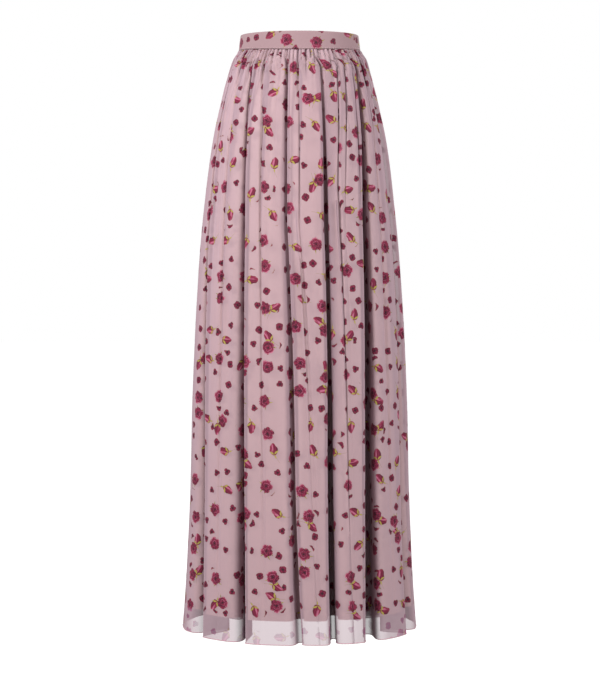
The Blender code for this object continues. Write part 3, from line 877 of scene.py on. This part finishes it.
rosetteShape = {
    "reach": 2.7, "smallest": 3.9, "largest": 5.1, "warp": 3.2, "ragged": 2.3, "fourPetals": 0.55,
    "edge": (-0.1, 0.5), "patches": (0.42, 0.60, 0.75, 0.0), "join": (0.1, 1.0, 0.8, 0.0),
    "heart": (1.0, 3.0, 0.95, 0.0),
}
seedSpread = 40.0


def wander(x, y, seed, scale=0.16):
    # a slow push to one side or the other, for uneven outlines
    return noise(joined(x * scale, y * scale, seed), 1.0) - 0.5


def blotches(x, y, seed, scale):
    return noise(joined(x * scale, y * scale, seed), 1.0, 2.0)


def startMotif(name):
    tree, given = makeGroup(name, {"Point": None, "Chance": 0.5}, ["Color", "Mask"])
    x, y, _ = parted(given["Point"])
    return tree, given["Point"], x, y, given["Chance"], given["Chance"] * seedSpread


def layered(color, *layers):
    # each layer's share and its color, laid over the ones before it
    color = printColors[color]
    for share, over in layers:
        color = blendColor(share, color, printColors[over] if isinstance(over, str) else over)
    return color


def makeLeafBlade():
    # a narrow leaf from the origin along +Y
    sizes = {"Point": None, "Length": 10.0, "Width": 3.0, "Bend": 0.0}
    tree, given = makeGroup("leafBlade", sizes, ["Mask"])
    x, y, _ = parted(given["Point"])
    share = calc("MINIMUM", calc("MAXIMUM", y / given["Length"], 0.0), 1.0)
    half = calc("SINE", share * math.pi) * given["Width"] * 0.5
    return putOut(tree, Mask=ramp(half - abs(x - y * y * given["Bend"]), 0.0, 0.4))


def makePetalRing():
    # round petals about the origin: how deep inside their outline a point lies, and how far from a line
    # where two of them meet
    sizes = {"Point": None, "Petals": 5.0, "Reach": 5.0, "Size": 6.0, "Warp": 2.0, "Ragged": 1.0, "Seed": 0.0}
    tree, given = makeGroup("petalRing", sizes, ["Inside", "Join"])
    x, y, _ = parted(given["Point"])
    seed = given["Seed"]
    pushX, pushY = wander(x, y, seed), wander(y, x, seed + 5.0)
    x = x + pushX * given["Warp"]
    y = y + pushY * given["Warp"]
    radius = calc("SQRT", x * x + y * y)
    half = math.pi / given["Petals"]
    off = calc("PINGPONG", calc("ARCTAN2", y, x) + seed, half)
    along = radius * calc("COSINE", off) - given["Reach"]
    aside = radius * calc("SINE", off)
    ragged = (blotches(x, y, seed, 0.5) - 0.5) * given["Ragged"]
    inside = given["Size"] - calc("SQRT", along * along + aside * aside) + ragged
    return putOut(tree, Inside=inside, Join=(half - off) * radius)


def makeOpenFlower(petalRing):
    # a full flower: petals with pale rims on one side, a ring of darker ones inside them and a dark heart
    tree, point, x, y, _, seed = startMotif("openFlower")
    shape = flowerShape
    outer = useGroup(petalRing, Point=point, Petals=shape["petals"], Reach=shape["reach"], Size=shape["size"],
                     Warp=shape["warp"], Ragged=shape["ragged"], Seed=seed)
    inner = useGroup(petalRing, Point=point, Petals=shape["innerPetals"], Reach=shape["innerReach"],
                     Size=shape["innerSize"], Warp=shape["innerWarp"], Seed=seed + 2.0)
    lit = ramp(x * 0.6 - y * 0.8, *shape["lit"])
    mottle = blotches(x, y, seed, 0.45)
    rim = ramp(outer["Inside"], *shape["rim"]) * ramp(mottle, *shape["rimPatches"]) * lit
    shadow = ramp(blotches(y, x, seed, 0.3), *shape["shadow"]) * (1.15 - lit)
    innerRim = ramp(inner["Inside"], *shape["innerRim"]) * lit
    innerPatches = ramp(mottle, *shape["innerPatches"])
    innerColor = layered("burgundy", (innerPatches, "raspberry"), (innerRim, "pinkRim"))
    color = layered("raspberry", (rim, "pinkRim"), (shadow, "burgundy"),
                    (ramp(outer["Join"], *shape["join"]), "burgundy"),
                    (ramp(inner["Inside"], *shape["innerEdge"]), innerColor),
                    (ramp(vectorCalc("LENGTH", point), *shape["heart"]), "flowerHeart"))
    return putOut(tree, Color=color, Mask=ramp(outer["Inside"], *shape["edge"]))


def makeSideBud(leafBlade):
    # a closed flower from the side: an egg of wrapped petals along Y, sepals and a hair of stem at its foot
    tree, point, x, y, _, seed = startMotif("sideBud")
    shape = budShape
    along = y / shape["halfLength"]
    across = (x + wander(x, y, seed) * shape["warp"]) * (along * shape["taper"] + 1.0) / shape["halfWidth"]
    inside = (1.0 - calc("SQRT", across * across + along * along)) * shape["halfWidth"]
    grain = noise(joined(x * 0.42, y * 0.08, seed), 1.2, 2.0)
    pale = ramp(abs(x + 2.0 + along * along), *shape["pale"]) * ramp(grain, *shape["palePatches"])
    wrap = ramp(abs(x - 0.6 - y * 0.14), *shape["wrap"]) * ramp(y, *shape["wrapEnd"])
    foot = vectorCalc("ADD", point, (0.0, shape["foot"], 0.0))
    green = ramp(abs(x - y * y * 0.02), *shape["stem"])
    green = green * ramp(y, *shape["stemTop"]) * ramp(y, *shape["stemEnd"])
    for angle, length, width, curve in shape["sepals"]:
        blade = useGroup(leafBlade, Point=turned(foot, angle), Length=length, Width=width, Bend=curve)
        green = calc("MAXIMUM", green, blade["Mask"])
    color = layered("raspberry", (pale, "pinkRim"), (ramp(x, *shape["shade"]), "burgundy"),
                    (wrap, "burgundy"), (green, "leaf"))
    return putOut(tree, Color=color, Mask=calc("MAXIMUM", ramp(inside, *shape["edge"]), green))


def makeRosette(petalRing):
    # a small dark bloom of three or four round petals
    tree, point, x, y, chance, seed = startMotif("rosette")
    shape = rosetteShape
    petals = calc("GREATER_THAN", chance, shape["fourPetals"]) + 3.0
    size = chance * (shape["largest"] - shape["smallest"]) + shape["smallest"]
    ring = useGroup(petalRing, Point=point, Petals=petals, Reach=shape["reach"], Size=size,
                    Warp=shape["warp"], Ragged=shape["ragged"], Seed=seed)
    color = layered("raspberry", (ramp(blotches(x, y, seed, 0.33), *shape["patches"]), "burgundy"),
                    (ramp(ring["Join"], *shape["join"]), "burgundy"),
                    (ramp(vectorCalc("LENGTH", point), *shape["heart"]), "flowerHeart"))
    return putOut(tree, Color=color, Mask=ramp(ring["Inside"], *shape["edge"]))


def makeMotifPlace():
    # the nearest motif's own point, turned its own way, and two numbers of its own
    tree, given = makeGroup("motifPlace", {"Point": None, "Spacing": 50.0, "Jitter": 0.5},
                            ["Point", "Kind", "Chance", "Distance"])
    spacing = given["Spacing"]
    counted = scaled(given["Point"], 1.0 / spacing)
    cells = addNode(tree, "TexVoronoi", {"Vector": counted}, voronoi_dimensions="2D").socket.node
    cells.inputs["Scale"].default_value = 1.0
    feed(tree, cells.inputs["Randomness"], given["Jitter"])
    labels = ("Distance", "Color", "Position")
    distance, color, position = (Term(tree, cells.outputs[label]) for label in labels)
    kind, turn, chance = parted(color)
    local = scaled(vectorCalc("SUBTRACT", counted, position), spacing)
    local = vectorCalc("MULTIPLY", local, (1.0, 1.0, 0.0))
    return putOut(tree, Point=turned(local, turn * 2 * math.pi), Kind=kind, Chance=chance,
                  Distance=distance * spacing)


def makeDitsyPrint():
    leafBlade, petalRing, motifPlace = makeLeafBlade(), makePetalRing(), makeMotifPlace()
    openFlower, sideBud, rosette = makeOpenFlower(petalRing), makeSideBud(leafBlade), makeRosette(petalRing)
    tree, given = makeGroup("ditsyPrint", {"Point": None}, ["Color", "Mask"])
    layout = printLayout
    cloth = scaled(given["Point"], 1 / mm)
    place = useGroup(motifPlace, Point=cloth, Spacing=layout["flowerSpacing"],
                     Jitter=layout["flowerJitter"])
    local, kind, chance = place["Point"], place["Kind"], place["Chance"]
    isBud = calc("GREATER_THAN", kind, layout["withBud"])
    alone = calc("LESS_THAN", kind, layout["flowersAlone"])
    isPair = 1.0 - isBud - alone

    x, y = layout["flowerInPair"]
    fromFlower = vectorCalc("ADD", local, joined(isPair * x, isPair * y))
    flower = useGroup(openFlower, Point=fromFlower, Chance=chance)
    flowerMask = flower["Mask"] * (1.0 - isBud)

    x, y = layout["budInPair"]
    fromBud = turned(vectorCalc("ADD", local, joined(isPair * x, isPair * y)), isPair * layout["budTurn"])
    bud = useGroup(sideBud, Point=scaled(fromBud, 1 / budShape["size"]), Chance=chance)
    budMask = bud["Mask"] * (1.0 - alone)

    leaves = isBud * 0.0
    for angle, length, width, curve in layout["sprig"]:
        blade = useGroup(leafBlade, Point=turned(fromFlower, angle), Length=length, Width=width, Bend=curve)
        leaves = calc("MAXIMUM", leaves, blade["Mask"])
    leaves = leaves * (1.0 - isBud) * calc("GREATER_THAN", isPair + chance, layout["leafyAbove"])

    moved = vectorCalc("ADD", cloth, layout["rosettesAside"])
    small = useGroup(motifPlace, Point=moved, Spacing=layout["rosetteSpacing"],
                     Jitter=layout["rosetteJitter"])
    bloom = useGroup(rosette, Point=small["Point"], Chance=small["Chance"])
    clear = layout["clearOfFlowers"]
    bloomMask = bloom["Mask"] * ramp(place["Distance"], clear - 2, clear)

    shade = ramp(noise(cloth, 0.4), *layout["leafTones"])
    mask = calc("MAXIMUM", calc("MAXIMUM", flowerMask, budMask), leaves)
    color = layered("leafShade", (shade, "leaf"), (budMask, bud["Color"]), (flowerMask, flower["Color"]),
                    (bloomMask * (1.0 - mask), bloom["Color"]))
    return putOut(tree, Color=color, Mask=calc("MAXIMUM", mask, bloomMask))


weaveShape = {"crepe": 1400.0, "clouds": 26.0, "threadHeight": 0.25, "toneSpread": 0.12}


def makeWeave():
    # thread crossings and crepe for the bump, and a slow unevenness of tone
    tree, given = makeGroup("weave", {"Point": None, "Threads": 2600.0, "Slub": 0.5}, ["Height", "Tone"])
    x, y, _ = parted(scaled(given["Point"], given["Threads"] * math.pi))
    crepe = noise(given["Point"], weaveShape["crepe"], 2.0)
    cloudy = noise(given["Point"], weaveShape["clouds"], 3.0)
    height = calc("SINE", x) * calc("SINE", y) * weaveShape["threadHeight"] + crepe
    tone = (crepe * 0.5 + cloudy * 0.5 - 0.5) * given["Slub"] * weaveShape["toneSpread"] + 1.0
    return putOut(tree, Height=height, Tone=tone)


clothColors = {
    # a painted paler print colour, standing in for light that shines through the unlined cloth from behind
    "paintedLitThroughPrint": (0.320, 0.150, 0.250, 1),
    "chiffon": (0.308, 0.211, 0.241, 1),
    "band": (0.240, 0.152, 0.163, 1),
    "lining": (0.760, 0.510, 0.475, 1),
    "thread": (0.360, 0.200, 0.225, 1),
    "paleThread": (0.620, 0.430, 0.470, 1),
    "tape": (0.330, 0.210, 0.230, 1),
    "coil": (0.300, 0.170, 0.195, 1),
    "metal": (0.320, 0.180, 0.205, 1),
    "worn": (0.620, 0.500, 0.500, 1),
    "sheen": (1.0, 0.86, 0.90, 1),
}
sheerness = {
    "plain": 0.64,              # how much the cloth covers what is behind it
    "print": 0.985,
    "printUnlined": 0.68,
    "paintedLitThroughShare": 0.45,             # how far the unlined print is painted paler, standing in for light shining through it from behind
    "unlinedBelow": 1.065,      # m of cloth down from the seam
    "unlinedFade": 0.002,
    "seam": 0.84,
    "lightThrough": 0.30,       # the share of the cover that lets light on through it
    "steepest": 0.15,           # the cosine past which a slant makes it no denser
}
weaves = {"fine": dict(Threads=2600.0, Slub=0.6), "lining": dict(Threads=3400.0, Slub=0.8),
          "tape": dict(Threads=1300.0, Slub=0.7)}
grainDepth = 0.0001


def newCloth(name, kind):
    material, tree = newMaterial(name)
    where = addNode(tree, "UVMap", {}, uv_map="cut")
    return material, where, useGroup(weave, Point=where, **weaves[kind])


def setCloth(material, grain, color, strength, others, roughness=0.85, depth=grainDepth):
    normal = bump(grain["Height"], strength, depth)
    own = {"Base Color": tinted(color, grain["Tone"]), "Roughness": roughness, "Normal": normal}
    return setShader(material, own | others)


def makeChiffon():
    material, where, grain = newCloth("printedChiffon", "fine")
    design = useGroup(ditsyPrint, Point=where)
    # painted light: where no lining backs it, the print is blended towards a paler colour that stands in for
    # light shining through the sheer cloth from behind
    below, fade = sheerness["unlinedBelow"], sheerness["unlinedFade"]
    unlined = ramp(parted(where)[1] * -1.0, below - fade, below + fade)
    ink = blendColor(unlined * sheerness["paintedLitThroughShare"], design["Color"], clothColors["paintedLitThroughPrint"])
    color = blendColor(design["Mask"], clothColors["chiffon"], ink)
    doubled = addNode(where.tree, "Attribute", {}, "Fac", attribute_name="doubled")
    cover = ramp(doubled, 0.0, 1.0, sheerness["plain"], sheerness["seam"])
    backed = ramp(unlined, 0.0, 1.0, sheerness["print"], sheerness["printUnlined"])
    cover = calc("MAXIMUM", cover, design["Mask"] * backed)
    # threads close up where the cloth turns edge on, so it is less sheer there
    facing = addNode(where.tree, "LayerWeight", {"Blend": 0.5}, "Facing")
    straight = calc("MAXIMUM", 1.0 - facing, sheerness["steepest"])
    through = calc("POWER", 1.0 - cover, 1.0 / straight)
    shadowRay = addNode(where.tree, "LightPath", {}, "Is Shadow Ray")
    kept = 1.0 - shadowRay * sheerness["lightThrough"]
    return setCloth(material, grain, color, 0.20, {
        "Alpha": (1.0 - through) * kept,
        "Specular IOR Level": 0.25,
        "Sheen Weight": 0.07,
        "Sheen Roughness": 0.5,
        "Sheen Tint": clothColors["sheen"],
    })


def makeBandCloth():
    material, where, grain = newCloth("bandCloth", "fine")
    design = useGroup(ditsyPrint, Point=where)
    color = blendColor(design["Mask"], clothColors["band"], design["Color"])
    return setCloth(material, grain, color, 0.25, {"Specular IOR Level": 0.25, "Sheen Weight": 0.2})


def makeHemCloth():
    # the same cloth rolled up, so no longer sheer
    material, _, grain = newCloth("rolledHemCloth", "fine")
    return setCloth(material, grain, clothColors["thread"], 0.3, {})


def makeLiningCloth():
    material, _, grain = newCloth("liningCloth", "lining")
    gloss = ramp(grain["Height"], 0.2, 1.0, 0.48, 0.62)
    return setCloth(material, grain, clothColors["lining"], 0.12, {"Specular IOR Level": 0.35}, gloss)


def makeThread():
    material, tree = newMaterial("sewingThread")
    twist = noise(ownPlace(tree), 2200.0, 1.0)
    return setShader(material, {
        "Base Color": blendColor(ramp(twist, 0.35, 0.65), clothColors["thread"], clothColors["paleThread"]),
        "Roughness": 0.55,
        "Normal": bump(twist, 0.3, grainDepth),
    })


def makeTape():
    material, tree = newMaterial("zipTape")
    x, _, z = parted(ownPlace(tree))
    grain = useGroup(weave, Point=joined(x, z), **weaves["tape"])
    return setCloth(material, grain, clothColors["tape"], 0.5, {}, 0.8, 2 * grainDepth)


def makeHard(name, color, metallic, roughLow, roughHigh):
    # painted metal or moulded nylon, with faint wear in its gloss
    material, tree = newMaterial(name)
    wear = noise(ownPlace(tree), 900.0, 3.0)
    return setShader(material, {
        "Base Color": blendColor(ramp(wear, 0.55, 0.75, 0.0, 0.35), color, clothColors["worn"]),
        "Roughness": ramp(wear, 0.3, 0.7, roughLow, roughHigh),
        "Metallic": metallic,
        "Coat Weight": 0.3,
        "Normal": bump(wear, 0.15, grainDepth / 2),
    })


print("materials")
ditsyPrint, weave = makeDitsyPrint(), makeWeave()
chiffon, bandCloth, hemCloth = makeChiffon(), makeBandCloth(), makeHemCloth()
liningCloth, thread, zipTape = makeLiningCloth(), makeThread(), makeTape()
zipNylon = makeHard("zipNylon", clothColors["coil"], 0.0, 0.35, 0.5)
zipMetal = makeHard("zipMetal", clothColors["metal"], 0.7, 0.25, 0.45)

# Each panel's solids, folds and creases, the angles it spans, its gathers and columns, how far across the
# printed cloth it was cut, in m, and its seed
panels = {
    "Front": dict(node="front", rows=frontFolds, creases=frontCreases, span=(-90, 90), gathers=50,
                  columns=372, liningColumns=308, printAt=0.0, seed=11),
    "BackRight": dict(node="back_right", rows=backRightFolds, creases=backRightCreases, span=(90, 180),
                      gathers=25, columns=186, liningColumns=154, printAt=3.17, seed=23),
    "BackLeft": dict(node="back_left", rows=backLeftFolds, creases=backLeftCreases, span=(-180, -90),
                     gathers=25, columns=186, liningColumns=154, printAt=6.41, seed=37),
}
# "shows" is how much of the gathers, gaps, creases and drape a layer has
shellMesh = {
    "lips": 6, "floors": 4, "rowCounts": (34, 72, 150), "opening": 0.6 * mm,
    "shows": (1.0, 1.0, 1.0, 1.0), "hemRadius": 0.75 * mm, "hemSides": 8,
}
liningMesh = {
    "lips": 6, "floors": 4, "rowCounts": (12, 32, 80), "opening": 25.4 * mm, "length": 1.07,
    "shows": (0.5, 0.8, 0.6, 0.6), "hemRadius": 0.5 * mm, "hemSides": 6,
}


def hangCloth(name, facts, drops, isLining=False):
    mesh = liningMesh if isLining else shellMesh
    plan = planPanel(facts, mesh, isLining)
    smooth = np.array([clothRing(plan, drop) for drop in drops])
    below = np.maximum(drops, 0)
    gathered, gapped, creased, draped = mesh["shows"]
    relief = gatherRelief(smooth, below, facts) * gathered
    relief += gapRelief(smooth, below, facts["rows"]) * gapped
    if not isLining:
        relief *= onSurface(smooth)
    relief += creaseRelief(smooth, below, facts["creases"]) * creased
    relief += drapeRelief(smooth, below, facts["seed"] + 1) * draped
    relief[:, [0, -1]] = 0
    if isLining:
        clear = softStep(below / lining["clearStart"]) * lining["clearOfGathers"]
        clear = clear * (1 - softStep((below - lining["clearEnd"]) / lining["clearFade"]))
        relief -= clear[:, None] * clearOfZip(smooth)
    points = smooth + outward(smooth) * relief[..., None]
    printAt = 0.0 if isLining else facts["printAt"]
    return points, gridSheet(name, points, *sheetCut(points, drops, *planBreaks(plan), printAt))


def hemEdge(name, path, mesh, material):
    # a rolled or turned-up edge along a panel's last row
    return addPiece(name, tubeMesh(name, path, mesh["hemRadius"], mesh["hemSides"]), material)


def buildShell(name, facts):
    drops = sheetDrops(fullDrop, shellMesh["rowCounts"])
    points, (mesh, row, column) = hangCloth(name, facts, drops)
    doubled = mesh.attributes.new("doubled", "FLOAT", "POINT")
    doubled.data.foreach_set("value", sideShade(points)[row, column])
    panel = addPiece(name, mesh, chiffon)
    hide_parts("shell_" + facts["node"])
    roll = hemEdge(name + "Hem", points[-1], shellMesh, hemCloth)


def buildLining(name, facts):
    drops = sheetDrops(seamLevel - skirt["liningHem"], liningMesh["rowCounts"])
    points, (mesh, _, _) = hangCloth(name, facts, np.concatenate([[-lining["topRise"]], drops]), True)
    panel = addPiece(name, mesh, liningCloth)
    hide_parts("lining_" + facts["node"])
    edge = hemEdge(name + "Hem", points[-1], liningMesh, liningCloth)


print("outer panels")
for place, facts in panels.items():
    buildShell("shell" + place, facts)
print("lining")
for place, facts in panels.items():
    buildLining("lining" + place, facts)

# The waistband: one folded strip, sewn to the outer panels along its lower edge
band = {
    "top": 0.0175,
    "wall": 3.0 * mm,
    "edge": 1.3 * mm,           # the rounding of its top
    "endGap": 2.0 * mm,
    "columns": 720,
    "puff": 0.35 * mm,          # how far its middle stands out between top and seam
    "pucker": 0.30 * mm,        # the gathers press its lower edge into small waves
    "puckers": 88,
    "puckerReach": 3.5 * mm,
    "swells": 13,               # how often round it the waves grow, and by what share
    "swellShare": 0.4,
    "dentWidth": 0.9 * mm,      # where the stitches pull it in
    "dentDepth": 0.22 * mm,
    "printAt": (1.83, 0.35),    # m across and down the printed cloth
    "stitchRise": 2.2 * mm,     # above the seam
    "stitchPitch": 2.9 * mm,
    "stitchSize": (1.05 * mm, 0.20 * mm, 0.17 * mm),
    "stitchedTo": 178,          # degrees to each side of centre front
    "stitchOut": 0.02 * mm,
}


def bandProfile(angle):
    # how far out from the middle of the wall, and how high: from the outer lower corner, over the rounded top
    # and down the inside
    half, low, edge = band["wall"] / 2, seamHeight(angle), band["edge"]
    shoulder = band["top"] - edge
    outline = []
    for share in np.linspace(0, 1, 13):
        outline.append((half + band["puff"] * math.sin(math.pi * share), low + (shoulder - low) * share))
    for turn in np.radians([22, 45, 68]):
        outline.append((half - edge * (1 - math.cos(turn)), shoulder + edge * math.sin(turn)))
    for turn in np.radians([90, 112, 135, 158]):
        outline.append((-half + edge * (1 + math.cos(turn)), shoulder + edge * math.sin(turn)))
    for share in np.linspace(1, 0, 5):
        outline.append((-half, low + (shoulder - low) * share))
    outline.append(outline[0])
    return outline


def buildBand():
    gap = band["endGap"] / 2 / girthPerDegree(180, 0.0)
    angle = np.linspace(-180 + gap, 180 - gap, band["columns"] + 1)
    turns = np.radians(angle)
    swell = 1 - band["swellShare"] + band["swellShare"] * np.sin(turns * band["swells"] + 1)
    waves = np.sin(turns * band["puckers"]) * swell * band["pucker"]
    rows = []
    for out, height in bandProfile(angle):
        height = height * np.ones_like(angle)
        above = height - seamHeight(angle)
        low = bell(above / band["puckerReach"])
        dent = bell((above - band["stitchRise"]) / band["dentWidth"]) * band["dentDepth"]
        out = out + np.where(out > 0, waves * low - dent, 0.0)
        rows.append(np.stack([onEnvelope(a, z, -o) for a, z, o in zip(angle, height, out)]))
    points = np.array(rows)[::-1]
    across = np.broadcast_to(arcAlong(points[-1]), points.shape[:2]) + band["printAt"][0]
    down = np.concatenate([[0], np.cumsum(np.linalg.norm(np.diff(points[:, 0], axis=0), axis=1))])
    mesh, _, _ = gridSheet("bandPiece", points, across[:, :-1], across[:, 1:], band["printAt"][1] - down)
    closeUp(mesh)
    piece = addPiece("bandPiece", mesh, bandCloth)
    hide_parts("waistband")
    return piece


def buildBandStitches():
    last = band["stitchedTo"]
    girth = arcAlong(onEnvelope(np.linspace(-last, last, 2 * band["columns"] + 1), 0.0))[-1]
    angle = np.linspace(-last, last, int(girth / band["stitchPitch"]))
    height = seamHeight(angle) + band["stitchRise"]
    out = band["wall"] / 2 + band["stitchOut"]
    places = np.array([onEnvelope(a, z, -out) for a, z in zip(angle, height)])
    runs = np.gradient(places, axis=0)
    runs /= np.linalg.norm(runs, axis=1)[:, None]
    stitches = strew("bandStitches", band["stitchSize"], places, runs, outward(places), thread)
    return stitches


print("waistband")
bandPiece = buildBand()
stitches = buildBandStitches()

# The zip's teeth, and the finish of its own solids
zipper = {
    "pitch": 1.5 * mm,
    "toothSize": (1.25 * mm, 0.62 * mm, 0.45 * mm),
    "toothAside": 0.75 * mm,
    "behindCloth": 1.0 * mm,
    "layersBelow": 1.1 * mm,    # the cloth over the teeth, below the band and behind it
    "layersByBand": 1.8 * mm,
    "layersFrom": -0.050,       # the height from which, and over which, the one becomes the other
    "layersOver": 0.030,
    "bevel": 0.25 * mm,
    "bevelSegments": 2,
    "bevelAbove": 40,           # degrees
}


def buildZipTeeth():
    low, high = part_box("zip_chain")
    heights = np.arange(low[2] + zipper["pitch"], high[2] - zipper["pitch"] / 2, zipper["pitch"] / 2)
    side = np.where(np.arange(len(heights)) % 2 == 0, 1.0, -1.0)
    depths = envelopeAt(heights)[1]
    byBand = softStep((heights - zipper["layersFrom"]) / zipper["layersOver"])
    layers = zipper["layersBelow"] + (zipper["layersByBand"] - zipper["layersBelow"]) * byBand
    places = np.column_stack([side * zipper["toothAside"], depths - layers - zipper["behindCloth"], heights])
    runs = np.tile([1.0, 0, 0], (len(heights), 1))
    outs = np.tile([0, 1.0, 0], (len(heights), 1))
    teeth = strew("zipTeeth", zipper["toothSize"], places, runs, outs, zipNylon)
    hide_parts("zip_chain")


def softenEdges(node):
    # the solid's loose faces are joined, then its edges are rounded
    weld = node.modifiers.new("joined", "WELD")
    weld.merge_threshold = weldDistance
    rounded = node.modifiers.new("rounded", "BEVEL")
    rounded.width = zipper["bevel"]
    rounded.segments = zipper["bevelSegments"]
    rounded.limit_method = "ANGLE"
    rounded.angle_limit = math.radians(zipper["bevelAbove"])


print("zip")
buildZipTeeth()
for nodeName, finish in (("zip_tape_left", zipTape), ("zip_tape_right", zipTape),
                         ("zip_slider", zipMetal), ("zip_pull", zipMetal)):
    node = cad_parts[nodeName]
    node.data.materials.clear()
    node.data.materials.append(finish)
for nodeName in ("zip_slider", "zip_pull"):
    softenEdges(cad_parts[nodeName])

# Floor, lights and camera
studio = {
    "floorDrop": 0.12,          # below the hem, where the wearer's soles would be
    "floorRadius": 14.0,
    "floorColor": (0.10, 0.10, 0.10, 1),
    "floorGlow": 0.95,          # to the camera only, so that it reads pale without lighting the hem
    "worldFill": 0.50,
    "aim": (0, 0, -0.35),
    "seeThroughLayers": 24,
}
# each light's place, its size in m and its power in W
lamps = {
    "key": ((-2.30, -2.00, 1.30), 1.5, 198.0),
    "fill": ((2.7, -1.8, 0.6), 2.0, 124.0),
    "back": ((0.6, 2.8, 0.8), 2.0, 60.0),
}
view = {
    "distance": 3.6,
    "height": -0.3925,
    "aside": 0.0009,
    "tiltDown": 2.663,
    "lens": 99.82,              # mm, for a 36 mm side up the picture
}


def buildFloor():
    model = bmesh.new()
    bmesh.ops.create_circle(model, cap_ends=True, segments=96, radius=studio["floorRadius"])
    bmesh.ops.translate(model, verts=model.verts, vec=(0, 0, skirt["hem"] - studio["floorDrop"]))
    mesh = bpy.data.meshes.new("floor")
    model.to_mesh(mesh)
    model.free()
    material, tree = newMaterial("paleFloor")
    cameraRay = addNode(tree, "LightPath", {}, "Is Camera Ray")
    setShader(material, {
        "Base Color": studio["floorColor"],
        "Roughness": 0.9,
        "Emission Color": (1, 1, 1, 1),
        "Emission Strength": cameraRay * studio["floorGlow"],
    })
    floor = newObject("floor", mesh)
    mesh.materials.append(material)


def softLight(name, place, aim, size, power):
    lamp = bpy.data.lights.new(name, "AREA")
    lamp.shape = "DISK"
    lamp.size = size
    lamp.energy = power
    holder = newObject(name, lamp)
    holder.location = place
    holder.rotation_euler = (Vector(aim) - Vector(place)).to_track_quat("-Z", "Y").to_euler()


def buildWorld():
    # white where the camera sees it, softer as a light
    world = bpy.data.worlds.new("studio")
    bpy.context.scene.world = world
    world.use_nodes = True
    tree = world.node_tree
    cameraRay = addNode(tree, "LightPath", {}, "Is Camera Ray")
    back = tree.nodes["Background"].inputs
    feed(tree, back["Strength"], cameraRay * (1 - studio["worldFill"]) + studio["worldFill"])
    back["Color"].default_value = (1, 1, 1, 1)


print("studio")
buildFloor()
buildWorld()
for lampName, (place, size, power) in lamps.items():
    softLight(lampName, place, studio["aim"], size, power)

lens = bpy.data.cameras.new("camera")
lens.lens = view["lens"]
camera = newObject("camera", lens)
camera.location = (view["aside"], -view["distance"], view["height"])
camera.rotation_euler = (math.radians(90 - view["tiltDown"]), 0, 0)
bpy.context.scene.camera = camera
bpy.context.scene.view_settings.view_transform = "Standard"
bpy.context.scene.cycles.transparent_max_bounces = studio["seeThroughLayers"]
